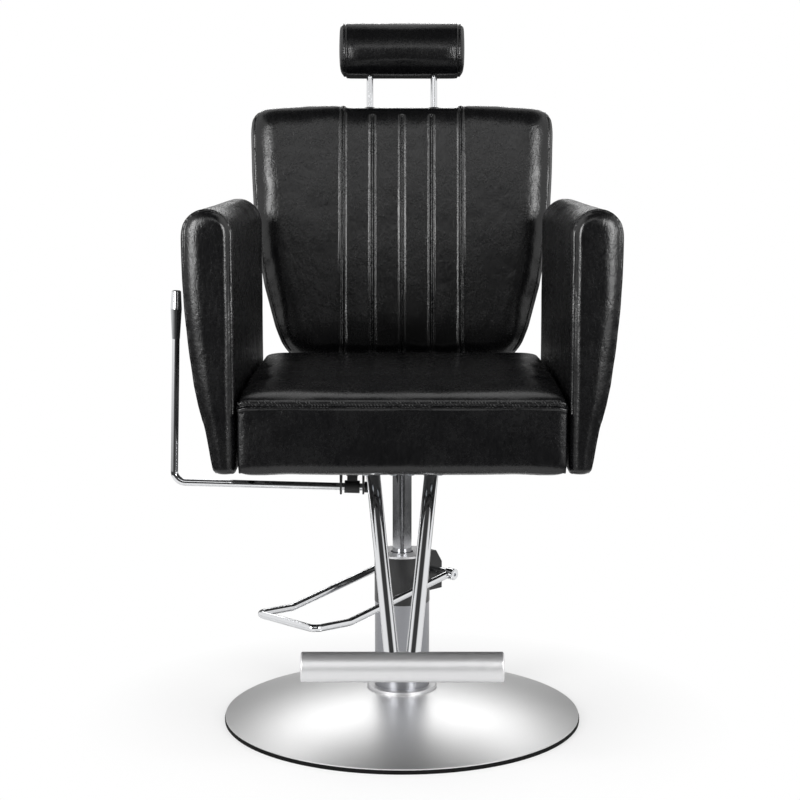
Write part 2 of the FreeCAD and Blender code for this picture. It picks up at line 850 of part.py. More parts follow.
# Backrest, in its own leaning axes: v up along its face, d back from its face
lean = math.radians(back_lean)
up_back = vec(0, math.sin(lean), math.cos(lean))
into_back = vec(0, math.cos(lean), -math.sin(lean))
back_origin = vec(0, back_front_y, back_foot_z)


def at_back(x, v, d):
    return back_origin + vec(x, 0, 0) + up_back * v + into_back * d


def back_block(x0, x1, v0, v1, d0, d1):
    corners = [at_back(x0, v0, d0), at_back(x1, v0, d0), at_back(x1, v0, d1), at_back(x0, v0, d1)]
    return Part.Face(Part.makePolygon(corners + corners[:1])).extrude(up_back * (v1 - v0))


def back_section(v, half, front, rear, puff_share, inset):
    """Section across the backrest: six puffed panels between five sewn channels, then sides and rear."""
    half = half - inset
    front = front + inset
    rear = rear - inset
    bend = min(back_corner_round, 0.4 * (rear - front))
    lean_in = 0.3 * bend
    seam = half - 0.7 * bend
    seams = [-seam] + [channel_pitch * k for k in (-2, -1, 0, 1, 2)] + [seam]
    sink = channel_sink * puff_share
    edges = []
    for index in range(6):
        a, b = seams[index], seams[index + 1]
        puff = (side_puff if index in (0, 5) else channel_puff) * puff_share
        middle = at_back((a + b) / 2, v, front + sink - puff)
        edges.append(arc(at_back(a, v, front + sink), middle, at_back(b, v, front + sink)))
    edges.append(
        arc(
            at_back(seam, v, front + sink),
            at_back(half - 0.25 * bend, v, front + sink + 0.35 * bend),
            at_back(half, v, front + sink + bend),
        )
    )
    rear_right = at_back(half - lean_in, v, rear - lean_in)
    rear_left = at_back(-half + lean_in, v, rear - lean_in)
    edges.append(line(at_back(half, v, front + sink + bend), at_back(half, v, rear - bend)))
    edges.append(arc(at_back(half, v, rear - bend), rear_right, at_back(half - bend, v, rear)))
    edges.append(line(at_back(half - bend, v, rear), at_back(-half + bend, v, rear)))
    edges.append(arc(at_back(-half + bend, v, rear), rear_left, at_back(-half, v, rear - bend)))
    edges.append(line(at_back(-half, v, rear - bend), at_back(-half, v, front + sink + bend)))
    edges.append(
        arc(
            at_back(-half, v, front + sink + bend),
            at_back(-half + 0.25 * bend, v, front + sink + 0.35 * bend),
            at_back(-seam, v, front + sink),
        )
    )
    return Part.Wire(edges)


def back_half_width(share):
    """Half the backrest's width at a share of its height: narrow at the foot, full near the top."""
    return back_half_foot + (back_half_top - back_half_foot) * (1 - (1 - share) ** 2.6)


def back_form(inset):
    """The upholstered backrest, or the same form drawn in by an inset."""
    low = -back_drop + inset
    high = back_height - inset
    span = high - low
    # Share of the height, change of half the width, draw-in of front and rear, share of the puff
    stations = (
        (0.0, -22.0, 14.0, 0.3),
        (0.012, -8.0, 6.0, 0.6),
        (0.035, 0.0, 1.0, 1.0),
        (0.11, 0.0, 0.0, 1.0),
        (0.30, 0.0, 0.0, 1.0),
        (0.55, 0.0, 0.0, 1.0),
        (0.80, 0.0, 0.0, 1.0),
        (0.92, 0.0, 0.0, 1.0),
        (0.955, -4.0, 3.0, 0.9),
        (0.985, -16.0, 11.0, 0.5),
        (1.0, -36.0, 24.0, 0.2),
    )
    sections = []
    for share, widen, draw_in, puff_share in stations:
        half = back_half_width(share) + widen
        sections.append(
            back_section(low + share * span, half, draw_in, back_depth - draw_in, puff_share, inset)
        )
    return Part.makeLoft(sections, True, True)


def post_line(x, v0, v1, radius):
    return rod(at_back(x, v0, post_depth), at_back(x, v1, post_depth), radius)


board_rear = back_board_depth + back_board_thickness
bar_foot = -bar_down


def bar_space(side, clearance):
    x0 = side * bar_half_spacing - bar_width / 2 - clearance
    x1 = side * bar_half_spacing + bar_width / 2 + clearance
    return back_block(
        x0, x1, bar_foot - clearance, bar_up + clearance, board_rear, board_rear + bar_thickness + clearance
    )


def make_back():
    shares = (0.04, 0.15, 0.35, 0.6, 0.94)
    span = back_height + back_drop
    right = [(back_half_width(s) - back_board_inset, -back_drop + s * span) for s in shares]
    outline = right + [(-x, v) for x, v in reversed(right)]
    corners = [at_back(x, v, back_board_depth) for x, v in outline]
    board = Part.Face(Part.makePolygon(corners + corners[:1])).extrude(into_back * back_board_thickness)
    save(board, "back_board")

    board_space = [at_back(x * 1.001, v, back_board_depth - soft_gap) for x, v in outline]
    board_cut = Part.Face(Part.makePolygon(board_space + board_space[:1])).extrude(
        into_back * (back_board_thickness + soft_gap)
    )
    cover = back_form(0).cut(back_form(cover_thickness))
    foam = back_form(cover_thickness + soft_gap).cut(board_cut)
    guides = []
    for x in (-post_half_spacing, post_half_spacing):
        outer = post_radius + guide_wall
        above = back_height + headrest_gap
        tail_end = back_height - post_tail - headrest_down - post_tail_room
        hole = post_line(x, back_height - guide_length, above, outer + soft_gap)
        tail = post_line(x, tail_end, back_height, post_radius + post_room)
        cover = cover.cut(hole)
        foam = cut_all(foam, [hole, tail])
        guide = post_line(x, back_height - guide_length, back_height + guide_lip, outer)
        guides.append(guide.cut(post_line(x, 0, above, post_radius + running_fit)))
    for side in (-1, 1):
        cover = cover.cut(bar_space(side, soft_gap))
        foam = foam.cut(bar_space(side, soft_gap))
    save(cover, "back_cover")
    save(foam, "back_foam")
    save(Part.makeCompound(guides), "post_guides")


hinge_tube_radius = hinge_pin_radius + hinge_tube_wall
eye_radius = hinge_tube_radius + eye_wall
hinge_point = vec(0, hinge_y, hinge_z)
crank_point = vec(0, hinge_y - crank_back, hinge_z - crank_down)
crank_gap_half = strut_eye_width / 2 + crank_side_gap
lug_outer_x = bar_half_spacing + lug_thickness / 2


def hinge_line(x0, x1, radius):
    return rod(vec(x0, hinge_y, hinge_z), vec(x1, hinge_y, hinge_z), radius)


def crank_line(x0, x1, radius):
    return rod(vec(x0, crank_point.y, crank_point.z), vec(x1, crank_point.y, crank_point.z), radius)


def make_back_frame():
    hinge_v = (hinge_point - back_origin).dot(up_back)
    hinge_d = (hinge_point - back_origin).dot(into_back)
    frame = hinge_line(-lug_outer_x, lug_outer_x, hinge_tube_radius)
    for side in (-1, 1):
        middle = side * bar_half_spacing
        lug_x0 = middle - lug_thickness / 2
        lug_x1 = middle + lug_thickness / 2
        eye = hinge_line(lug_x0, lug_x1, eye_radius)
        lug_top = bar_foot + lug_overlap
        lug = back_block(lug_x0, lug_x1, hinge_v, lug_top, hinge_d - lug_half_depth, hinge_d + lug_half_depth)
        frame = frame.fuse(bar_space(side, 0)).fuse(lug).fuse(eye)
    for x0 in (strut_x - crank_gap_half - crank_plate, strut_x + crank_gap_half):
        x1 = x0 + crank_plate
        half = crank_half_width
        arm = plate_across_x(
            [
                (crank_point.y - half, crank_point.z),
                (crank_point.y + half, crank_point.z),
                (hinge_point.y + half, hinge_point.z),
                (hinge_point.y - half, hinge_point.z),
            ],
            x0,
            x1,
        )
        tip = crank_line(x0, x1, half)
        frame = frame.fuse(arm).fuse(tip)
    bore_end = lug_outer_x + overcut
    frame = frame.cut(hinge_line(-bore_end, bore_end, hinge_pin_radius + running_fit))
    pin_left = strut_x - crank_gap_half - crank_plate
    pin_right = strut_x + crank_gap_half + crank_plate
    pin = crank_line(pin_left - crank_pin_proud, pin_right + crank_pin_proud, crank_pin_radius)
    frame = frame.cut(pin)
    save(frame.removeSplitter(), "back_frame")
    save(pin, "crank_pin")

    bracket_x0 = lug_outer_x + bracket_gap
    bracket_x1 = bracket_x0 + bracket_thickness
    rear_face = seat_rear_y + bracket_rear_gap
    front_face = seat_rear_y - bracket_fore
    outline = [
        (front_face, seat_bottom_z - soft_gap),
        (front_face, seat_bottom_z - bracket_drop),
        (hinge_y - bracket_tail, seat_bottom_z - bracket_drop),
        (hinge_y + eye_radius, hinge_z - bracket_heel),
        (hinge_y + eye_radius, hinge_z),
        (hinge_y - eye_radius, hinge_z),
        (rear_face, hinge_z - bracket_waist),
        (rear_face, seat_bottom_z - soft_gap),
    ]
    bracket = plate_across_x(outline, bracket_x0, bracket_x1)
    bracket = bracket.fuse(hinge_line(bracket_x0, bracket_x1, eye_radius))
    foot = box(
        bracket_x0,
        bracket_x0 + bracket_foot_width,
        front_face,
        seat_rear_y - 2 * frame_inset,
        seat_bottom_z - bracket_thickness,
        seat_bottom_z,
    )
    pin = hinge_line(bracket_x1 - hinge_pin_length, bracket_x1, hinge_pin_radius)
    bracket = bracket.fuse(foot).cut(pin).removeSplitter()
    save(bracket, "hinge_bracket_left")
    save(mirrored(bracket), "hinge_bracket_right")
    pin_head = hinge_line(bracket_x1, bracket_x1 + hinge_pin_head, hinge_pin_radius + hinge_pin_head_lip)
    save(both_sides(pin.fuse(pin_head).removeSplitter()), "hinge_pins")


# Gas strut, along the line from its front pivot to the crank
strut_front = vec(strut_x, strut_front_y, strut_front_z)
strut_rear = vec(strut_x, crank_point.y, crank_point.z)
strut_way = (strut_rear - strut_front).normalize()
strut_length = (strut_rear - strut_front).Length


def at_strut(distance):
    return strut_front + strut_way * distance


def make_strut():
    head_half = strut_head_length / 2
    turn = FreeCAD.Rotation(vec(0, 1, 0), strut_way)
    half_width = strut_head_width / 2
    block = box(-half_width, half_width, -head_half, head_half, -half_width, half_width)
    block.Placement = FreeCAD.Placement(strut_front, turn)
    piston_rod = rod(at_strut(0), at_strut(strut_rod_end), strut_rod_radius)
    bore_end = release_pin_inner + release_travel + release_gap
    release_bore = rod(at_strut(-head_half - overcut), at_strut(bore_end), release_pin_radius + running_fit)
    block = block.fuse(piston_rod).cut(release_bore)
    stubs = []
    for side in (-1, 1):
        inner = strut_front + vec(side * strut_pin_inner, 0, 0)
        outer = strut_front + vec(side * (ear_half_gap + ear_thickness), 0, 0)
        stubs.append(rod(inner, outer, crank_pin_radius))
        block = block.cut(rod(inner, outer, crank_pin_radius + running_fit))
    save(block.removeSplitter(), "strut_rod")
    release_tip = (lever_y + cam_neck_radius + release_gap - strut_front_y) / strut_way.y
    save(rod(at_strut(release_tip), at_strut(release_pin_inner), release_pin_radius), "release_pin")
    save(Part.makeCompound(stubs), "strut_pivot_pins")

    start = strut_cylinder_start
    end = start + strut_cylinder_length
    tube = rod(at_strut(start), at_strut(end), strut_cylinder_radius)
    neck = rod(at_strut(end - overcut), at_strut(strut_length), strut_neck_radius)
    across = vec(strut_eye_width / 2, 0, 0)
    eye = rod(strut_rear - across, strut_rear + across, strut_eye_radius)
    hole_radius = crank_pin_radius + crank_pin_slack
    eye_hole = rod(strut_rear - across * 2, strut_rear + across * 2, hole_radius)
    bore = rod(at_strut(start - overcut), at_strut(start + strut_bore_depth), strut_rod_radius + running_fit)
    tube = tube.fuse(neck).fuse(eye).cut(eye_hole).cut(bore)
    save(tube.removeSplitter(), "strut_cylinder")


# Recline lever. It is drawn level and then turned by its small slope about its bearing.
lever_origin = vec(strut_x, lever_y, lever_z)
lever_turn = FreeCAD.Placement(vec(0, 0, 0), FreeCAD.Rotation(vec(0, 1, 0), lever_slope), lever_origin)


def sloped(shape):
    shape = shape.copy()
    shape.Placement = lever_turn.multiply(shape.Placement)
    return shape


def lever_x_line(x0, x1, radius):
    return rod(lever_origin + vec(x0, 0, 0), lever_origin + vec(x1, 0, 0), radius)


def make_lever():
    outer = lever_origin + vec(-lever_reach, 0, 0)
    foot = lever_origin + vec(lever_inner_end, 0, 0)
    grip_foot = vec(outer.x, lever_y, lever_grip_z)
    top = vec(outer.x, lever_y, lever_top_z)
    handle = bent_rod([foot, outer, grip_foot], [lever_bend], lever_rod_radius)
    save(sloped(handle), "recline_lever")

    axis = outer.x
    outline = [
        vec(axis, lever_y, grip_foot.z),
        vec(axis + grip_foot_radius, lever_y, grip_foot.z),
        vec(axis + grip_belly_radius, lever_y, grip_belly_z),
        vec(axis + grip_top_radius, lever_y, top.z - grip_top_round),
        vec(axis + grip_top_radius - grip_top_round, lever_y, top.z),
        vec(axis, lever_y, top.z),
    ]
    grip = Part.Face(Part.makePolygon(outline + outline[:1])).revolve(
        vec(axis, lever_y, 0), vec(0, 0, 1), 360
    )
    save(sloped(grip), "lever_grip")

    hub = lever_x_line(-cam_block_half, cam_block_half, cam_block_radius)
    neck_top = strut_front_z
    neck = box(
        strut_x - cam_neck_half,
        strut_x + cam_neck_half,
        lever_y - cam_neck_radius,
        lever_y + cam_neck_radius,
        lever_z,
        neck_top,
    )
    nose = rod(
        vec(strut_x - cam_neck_half, lever_y, neck_top),
        vec(strut_x + cam_neck_half, lever_y, neck_top),
        cam_neck_radius,
    )
    lever_space = lever_x_line(-2 * ear_half_gap, 2 * ear_half_gap, lever_rod_radius)
    cam = hub.fuse(neck).fuse(nose).cut(lever_space).removeSplitter()
    save(sloped(cam), "release_cam")
    ear_outside = ear_half_gap + ear_thickness
    collar_start = ear_outside + collar_gap
    collar = lever_x_line(collar_start, collar_start + collar_length, collar_radius)
    save(sloped(collar.cut(lever_space)), "lever_collar")

    bridge = box(
        strut_x - ear_half_gap - ear_thickness,
        strut_x + ear_half_gap + ear_thickness,
        ear_front_y,
        ear_rear_y,
        plate_bottom - ear_thickness,
        plate_bottom,
    )
    bracket = bridge
    for side in (-1, 1):
        x0 = strut_x + side * (ear_half_gap + ear_thickness / 2) - ear_thickness / 2
        ear = plate_across_x(
            [
                (ear_front_y, plate_bottom),
                (ear_rear_y, plate_bottom),
                (ear_rear_y, ear_shoulder_z),
                (lever_y + ear_foot_half + ear_corner, ear_bottom_z + ear_corner),
                (lever_y + ear_foot_half, ear_bottom_z),
                (lever_y - ear_foot_half, ear_bottom_z),
                (lever_y - ear_foot_half - ear_corner, ear_bottom_z + ear_corner),
                (ear_front_y, ear_shoulder_z),
            ],
            x0,
            x0 + ear_thickness,
        )
        bracket = bracket.fuse(ear)
    reach = 2 * ear_half_gap
    lever_bore = sloped(lever_x_line(-reach, reach, lever_rod_radius + running_fit))
    pivot_bore = rod(strut_front - vec(reach, 0, 0), strut_front + vec(reach, 0, 0), crank_pin_radius)
    save(cut_all(bracket, [lever_bore, pivot_bore]).removeSplitter(), "lever_bracket")


def make_footrest():
    bar_middle = vec(0, footrest_bar_y, footrest_bar_z)
    half = footrest_bar_length / 2 - end_cap_thickness
    bar = rod(bar_middle - vec(half, 0, 0), bar_middle + vec(half, 0, 0), footrest_bar_radius)
    inner = footrest_bar_radius - footrest_bar_wall
    bore_half = half + overcut
    bar = bar.cut(rod(bar_middle - vec(bore_half, 0, 0), bar_middle + vec(bore_half, 0, 0), inner))
    plate_low = seat_bottom_z - footrest_plate_thickness
    bracket = box(
        -footrest_plate_x / 2,
        footrest_plate_x / 2,
        footrest_rod_top_y - footrest_plate_y / 2,
        footrest_rod_top_y + footrest_plate_y / 2,
        plate_low,
        seat_bottom_z,
    )
    for side, name in ((1, "footrest_rod_left"), (-1, "footrest_rod_right")):
        foot = vec(side * footrest_rod_foot_x, footrest_bar_y, footrest_bar_z + footrest_rod_foot_up)
        top = vec(side * footrest_rod_top_x, footrest_rod_top_y, footrest_rod_top_z)
        way = (top - foot).normalize()
        leg = rod(foot, top, footrest_rod_radius)
        bar = bar.cut(leg)
        save(leg, name)
        socket_radius = footrest_rod_radius + footrest_socket_wall
        socket_foot = top - way * footrest_socket_depth
        socket_top = top + way * footrest_socket_depth
        above_plate = box(
            -footrest_plate_x,
            footrest_plate_x,
            footrest_rod_top_y - footrest_plate_y,
            footrest_rod_top_y + footrest_plate_y,
            plate_low,
            seat_bottom_z + footrest_socket_depth,
        )
        socket = rod(socket_foot, socket_top, socket_radius).cut(above_plate)
        bracket = bracket.fuse(socket).cut(leg)
    save(bar, "footrest_bar")
    save(bracket.removeSplitter(), "footrest_bracket")

    caps = []
    for side in (-1, 1):
        face_x = side * (footrest_bar_length / 2)
        inner_x = side * (footrest_bar_length / 2 - end_cap_thickness)
        disc = rod(bar_middle + vec(inner_x, 0, 0), bar_middle + vec(face_x, 0, 0), footrest_bar_radius)
        rim = [
            edge
            for edge in disc.Edges
            if abs(edge.BoundBox.XMax - face_x) < touching and abs(edge.BoundBox.XMin - face_x) < touching
        ]
        disc = disc.makeFillet(end_cap_round, rim)
        plug_end = bar_middle + vec(inner_x - side * end_cap_plug, 0, 0)
        plug = rod(plug_end, bar_middle + vec(inner_x, 0, 0), inner - running_fit)
        caps.append(disc.fuse(plug).removeSplitter())
    save(Part.makeCompound(caps), "bar_end_caps")


headrest_low = back_height + headrest_gap
headrest_mid = headrest_low + headrest_height / 2


def headrest_section(x, inset, raise_low):
    """Roll section at x, drawn in by an inset; raise_low lifts its underside."""
    a = headrest_depth / 2 - inset
    top = headrest_height / 2 - inset
    low = -headrest_height / 2 + inset + raise_low

    def at(d, v):
        return at_back(x, headrest_mid + v, post_depth + d)

    edges = [
        line(at(-0.45 * a, low), at(0.45 * a, low)),
        arc(at(0.45 * a, low), at(0.88 * a, 0.60 * low), at(a, 0.0)),
        arc(at(a, 0.0), at(0.74 * a, 0.70 * top), at(0.0, top)),
        arc(at(0.0, top), at(-0.74 * a, 0.70 * top), at(-a, 0.0)),
        arc(at(-a, 0.0), at(-0.88 * a, 0.60 * low), at(-0.45 * a, low)),
    ]
    return Part.Wire(edges)


def headrest_form(inset):
    puff = headrest_end_puff
    half = headrest_half_width - inset
    # Place across the headrest, draw-in of the roll there, lift of its underside
    ends = (
        (half, puff, 12.0),
        (half - 0.25 * puff, 0.45 * puff, 9.0),
        (half - 0.7 * puff, 0.12 * puff, 5.0),
        (half - 1.3 * puff, 0.0, 1.5),
        (0.55 * half, -0.5, 0.0),
    )
    stations = [(-x, extra, lift) for x, extra, lift in ends]
    stations += [(x, extra, lift) for x, extra, lift in reversed(ends)]
    sections = [headrest_section(x, inset + extra, lift) for x, extra, lift in stations]
    return Part.makeLoft(sections, True, True)


def make_headrest():
    core_low = headrest_mid - headrest_core_height / 2
    core_high = headrest_mid + headrest_core_height / 2
    core = back_block(
        -headrest_core_x / 2,
        headrest_core_x / 2,
        core_low,
        core_high,
        post_depth - headrest_core_depth / 2,
        post_depth + headrest_core_depth / 2,
    )
    core_space = back_block(
        -headrest_core_x / 2 - soft_gap,
        headrest_core_x / 2 + soft_gap,
        core_low - soft_gap,
        core_high + soft_gap,
        post_depth - headrest_core_depth / 2 - soft_gap,
        post_depth + headrest_core_depth / 2 + soft_gap,
    )
    cover = headrest_form(0).cut(headrest_form(cover_thickness))
    foam = headrest_form(cover_thickness + soft_gap).cut(core_space)
    posts = []
    for x in (-post_half_spacing, post_half_spacing):
        post = post_line(x, back_height - post_tail, headrest_mid, post_radius)
        hole = post_line(x, back_height - post_tail, core_low, post_radius + soft_gap)
        core = core.cut(post_line(x, back_height, headrest_mid, post_radius))
        cover = cover.cut(hole)
        foam = foam.cut(hole)
        posts.append(post)
    save(core, "headrest_core")
    save(foam, "headrest_foam")
    save(cover, "headrest_cover")
    save(Part.makeCompound(posts), "headrest_posts")


make_base()
make_column()
make_ram()
make_pedal()
make_ram_head()
make_seat()
make_arms()
make_back()
make_back_frame()
make_strut()
make_lever()
make_footrest()
make_headrest()
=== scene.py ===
import json
import math

import bmesh
import bpy
import numpy as np
from mathutils import Matrix, Vector
from mathutils.bvhtree import BVHTree
from mathutils.kdtree import KDTree


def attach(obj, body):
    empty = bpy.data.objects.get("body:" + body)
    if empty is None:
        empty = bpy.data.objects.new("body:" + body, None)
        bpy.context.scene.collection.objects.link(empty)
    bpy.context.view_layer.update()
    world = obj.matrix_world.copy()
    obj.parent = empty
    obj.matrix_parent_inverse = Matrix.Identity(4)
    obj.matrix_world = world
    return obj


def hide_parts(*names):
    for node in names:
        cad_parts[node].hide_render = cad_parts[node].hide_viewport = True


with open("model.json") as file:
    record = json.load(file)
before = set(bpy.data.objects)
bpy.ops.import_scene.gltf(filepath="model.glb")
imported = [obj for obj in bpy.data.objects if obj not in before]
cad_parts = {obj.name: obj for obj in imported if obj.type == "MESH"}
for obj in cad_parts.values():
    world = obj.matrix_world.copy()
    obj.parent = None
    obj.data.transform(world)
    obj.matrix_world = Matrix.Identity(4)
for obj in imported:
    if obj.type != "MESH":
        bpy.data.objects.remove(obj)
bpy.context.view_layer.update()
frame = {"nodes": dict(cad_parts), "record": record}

# Hydraulic barber chair: the frame's metal with its finishes, and the upholstery over its boards.
# Outlines, sections and what the helpers take are in mm. Mesh points and places are in metres, in
# the frame's own axes: +Z up, the chair faces -Y.

mm = 0.001


# Colours and material nodes


def hex_colour(code):
    """An sRGB hex colour as the linear colour that a shader takes."""
    channels = [int(code[start:start + 2], 16) / 255 for start in (1, 3, 5)]
    linear = [c / 12.92 if c <= 0.04045 else ((c + 0.055) / 1.055) ** 2.4 for c in channels]
    return (*linear, 1.0)


def add_node(tree, kind, values=None, links=None, **settings):
    """Adds one node with its settings, socket values and links."""
    node = tree.nodes.new(kind)
    for key, value in settings.items():
        setattr(node, key, value)
    for socket, value in (values or {}).items():
        node.inputs[socket].default_value = value
    for socket, source in (links or {}).items():
        tree.links.new(source, node.inputs[socket])
    return node


def new_material(name, **shader):
    """A material with one Principled shader, and the object's coordinates to build patterns on."""
    material = bpy.data.materials.new(name)
    material.use_nodes = True
    tree = material.node_tree
    tree.nodes.clear()
    place = add_node(tree, "ShaderNodeTexCoord").outputs["Object"]
    values = {key.replace("_", " "): value for key, value in shader.items()}
    surface = add_node(tree, "ShaderNodeBsdfPrincipled", values)
    add_node(tree, "ShaderNodeOutputMaterial", links={"Surface": surface.outputs["BSDF"]})
    return material, tree, place, surface


def stretched(tree, place, scale, turn=(0.0, 0.0, 0.0)):
    """A place scaled on each axis, so that a pattern drawn on it comes out long or flat."""
    values = {"Scale": scale, "Rotation": turn}
    return add_node(tree, "ShaderNodeMapping", values, {"Vector": place}).outputs["Vector"]


def ramp(tree, factor, stops):
    """A colour ramp with (position, hex colour) stops."""
    node = add_node(tree, "ShaderNodeValToRGB", links={"Fac": factor})
    elements = node.color_ramp.elements
    while len(elements) < len(stops):
        elements.new(0.5)
    for element, (position, code) in zip(elements, stops):
        element.position = position
        element.color = hex_colour(code)
    return node.outputs["Color"]


def levels(tree, value, low, high, start=0.0, end=1.0, **settings):
    """A value moved from the range low..high to start..end."""
    limits = {"From Min": low, "From Max": high, "To Min": start, "To Max": end}
    node = add_node(tree, "ShaderNodeMapRange", limits, {"Value": value}, **settings)
    return node.outputs["Result"]


def maths(tree, operation, first, second=None, **settings):
    """One step of arithmetic on one or two values."""
    links = {0: first} if second is None else {0: first, 1: second}
    node = add_node(tree, "ShaderNodeMath", None, links, operation=operation, **settings)
    return node.outputs["Value"]


def distance_from_origin(tree, place):
    node = add_node(tree, "ShaderNodeVectorMath", None, {0: place}, operation="LENGTH")
    return node.outputs["Value"]


def mix_shaders(tree, share, first, second):
    """The first shader where the share is 0, the second where it is 1."""
    links = {0: share, 1: first, 2: second}
    return add_node(tree, "ShaderNodeMixShader", None, links).outputs["Shader"]


def noise(tree, place, scale, detail=2.0, roughness=0.5, distortion=0.0):
    values = {"Scale": scale, "Detail": detail, "Roughness": roughness, "Distortion": distortion}
    return add_node(tree, "ShaderNodeTexNoise", values, {"Vector": place}).outputs["Fac"]


def bump(tree, height, depth, strength, under=None):
    """A normal that follows a height, laid over another normal where one is given."""
    values = {"Strength": strength, "Distance": depth}
    links = {"Height": height}
    if under is not None:
        links["Normal"] = under
    return add_node(tree, "ShaderNodeBump", values, links).outputs["Normal"]


def make_leather():
    """Semi-gloss black bonded leather: soft grain, slanting creases and an uneven sheen."""
    colour = hex_colour("#070708")
    material, tree, place, surface = new_material("bonded_leather_embossed", Base_Color=colour)
    # The real grain is about 1 mm. It is drawn at 4 to 5 mm, because a finer one doesn't show
    grain = noise(tree, place, 230.0, 2.5, 0.55, 0.5)
    # Slanting stretch marks, 8 mm apart and about 2 cm long, as the hide is pulled over its foam
    pull = stretched(tree, place, (125.0, 70.0, 42.0), (0.0, math.radians(34.0), 0.0))
    marks = noise(tree, pull, 1.0, 3.0, 0.55, 1.2)
    # The foam under the hide is a little uneven, in waves of about 7 cm
    waves = noise(tree, place, 15.0, 2.0, 0.5)
    # The sheen is uneven where hands and the seat's load have polished it
    polish = levels(tree, waves, 0.3, 0.7, 0.21, 0.28)
    worn = maths(tree, "ADD", polish, levels(tree, grain, 0.3, 0.7, -0.03, 0.05))
    tree.links.new(worn, surface.inputs["Roughness"])
    tint = ramp(tree, levels(tree, marks, 0.3, 0.7), ((0.0, "#040405"), (1.0, "#0b0b0c")))
    tree.links.new(tint, surface.inputs["Base Color"])
    uneven = bump(tree, waves, 2.2 * mm, 0.5)
    creased = bump(tree, marks, 0.8 * mm, 0.5, uneven)
    grained = bump(tree, grain, 0.4 * mm, 0.5, creased)
    tree.links.new(grained, surface.inputs["Normal"])
    return material


def make_thread():
    """Black bonded polyester thread: twisted, a little glossier than the leather round it."""
    material, tree, place, surface = new_material(
        "polyester_thread", Base_Color=hex_colour("#161617"), Roughness=0.46
    )
    twist = noise(tree, place, 900.0, 2.0)
    tree.links.new(bump(tree, twist, 0.1 * mm, 0.5), surface.inputs["Normal"])
    return material


def make_chrome(name, code, rough):
    """Bright chrome plate on steel tube: mirror-like, with the faint haze that polishing leaves."""
    material, tree, place, surface = new_material(name, Base_Color=hex_colour(code), Metallic=1.0)
    haze = noise(tree, place, 60.0, 3.0)
    tree.links.new(levels(tree, haze, 0.3, 0.7, rough, rough + 0.05), surface.inputs["Roughness"])
    return material


def make_spun_steel():
    """Satin stainless sheet, spun to a dome and bead-blasted, so that light lies on it softly."""
    material, tree, place, surface = new_material(
        "spun_satin_stainless", Base_Color=hex_colour("#dcdcdc"), Metallic=1.0
    )
    flat = add_node(
        tree, "ShaderNodeVectorMath", {1: (1.0, 1.0, 0.0)}, {0: place}, operation="MULTIPLY"
    ).outputs["Vector"]
    reach = distance_from_origin(tree, flat)
    along = add_node(tree, "ShaderNodeCombineXYZ", links={"X": reach}).outputs["Vector"]
    # Rings of about 2 mm from the spinning tool, coarser than a real 240 grit so that they show
    rings = noise(tree, along, 520.0, 3.0, 0.6)
    # Blasting leaves a frosted grain, drawn at 3 mm for the same reason
    blasted = noise(tree, place, 340.0, 3.0, 0.6)
    tree.links.new(levels(tree, blasted, 0.3, 0.7, 0.36, 0.44), surface.inputs["Roughness"])
    first = bump(tree, rings, 0.03 * mm, 0.3)
    tree.links.new(bump(tree, blasted, 0.08 * mm, 0.4, first), surface.inputs["Normal"])
    return material


def make_brushed_tube(name, across, code="#c9c9ca", rough=0.27):
    """Satin stainless: fine brush lines, along the way in which the pattern is stretched."""
    material, tree, place, surface = new_material(name, Base_Color=hex_colour(code), Metallic=1.0)
    lines = noise(tree, stretched(tree, place, across), 1.0, 3.0, 0.6)
    tree.links.new(levels(tree, lines, 0.3, 0.7, rough, rough + 0.08), surface.inputs["Roughness"])
    tree.links.new(bump(tree, lines, 0.02 * mm, 0.25), surface.inputs["Normal"])
    return material


def make_machined():
    """Turned steel, oiled: grey, with fine tool marks across the axis."""
    material, tree, place, surface = new_material(
        "turned_steel", Base_Color=hex_colour("#b4b5b7"), Metallic=1.0
    )
    marks = noise(tree, stretched(tree, place, (120.0, 120.0, 1600.0)), 1.0, 2.0)
    tree.links.new(levels(tree, marks, 0.3, 0.7, 0.26, 0.40), surface.inputs["Roughness"])
    tree.links.new(bump(tree, marks, 0.03 * mm, 0.3), surface.inputs["Normal"])
    return material


def make_zinc():
    """Zinc-plated fastener: a mottled, slightly blue grey."""
    material, tree, place, surface = new_material(
        "zinc_plated_steel", Base_Color=hex_colour("#a9aeb3"), Metallic=1.0
    )
    spangle = noise(tree, place, 260.0, 3.0)
    tint = ramp(tree, spangle, ((0.3, "#9ba1a8"), (0.7, "#b9bdc0")))
    tree.links.new(tint, surface.inputs["Base Color"])
    tree.links.new(levels(tree, spangle, 0.3, 0.7, 0.34, 0.5), surface.inputs["Roughness"])
    return material


def make_coated(name, code, rough, grit, depth, gloss=0.5):
    """A black coat on metal, with the pimpled skin that spraying or casting leaves."""
    material, tree, place, surface = new_material(
        name, Base_Color=hex_colour(code), Specular_IOR_Level=gloss
    )
    skin = noise(tree, place, grit, 2.0, 0.55)
    wear = noise(tree, place, 38.0, 4.0, 0.6)
    tree.links.new(levels(tree, wear, 0.3, 0.7, rough, rough + 0.12), surface.inputs["Roughness"])
    tree.links.new(bump(tree, skin, depth, 0.4), surface.inputs["Normal"])
    return material


def make_bronze():
    """Sintered bronze bush: warm, dull, with open pores."""
    material, tree, place, surface = new_material(
        "sintered_bronze", Base_Color=hex_colour("#b98d55"), Metallic=1.0
    )
    pores = noise(tree, place, 1400.0, 2.0)
    tree.links.new(levels(tree, pores, 0.3, 0.7, 0.38, 0.55), surface.inputs["Roughness"])
    tree.links.new(bump(tree, pores, 0.05 * mm, 0.4), surface.inputs["Normal"])
    return material


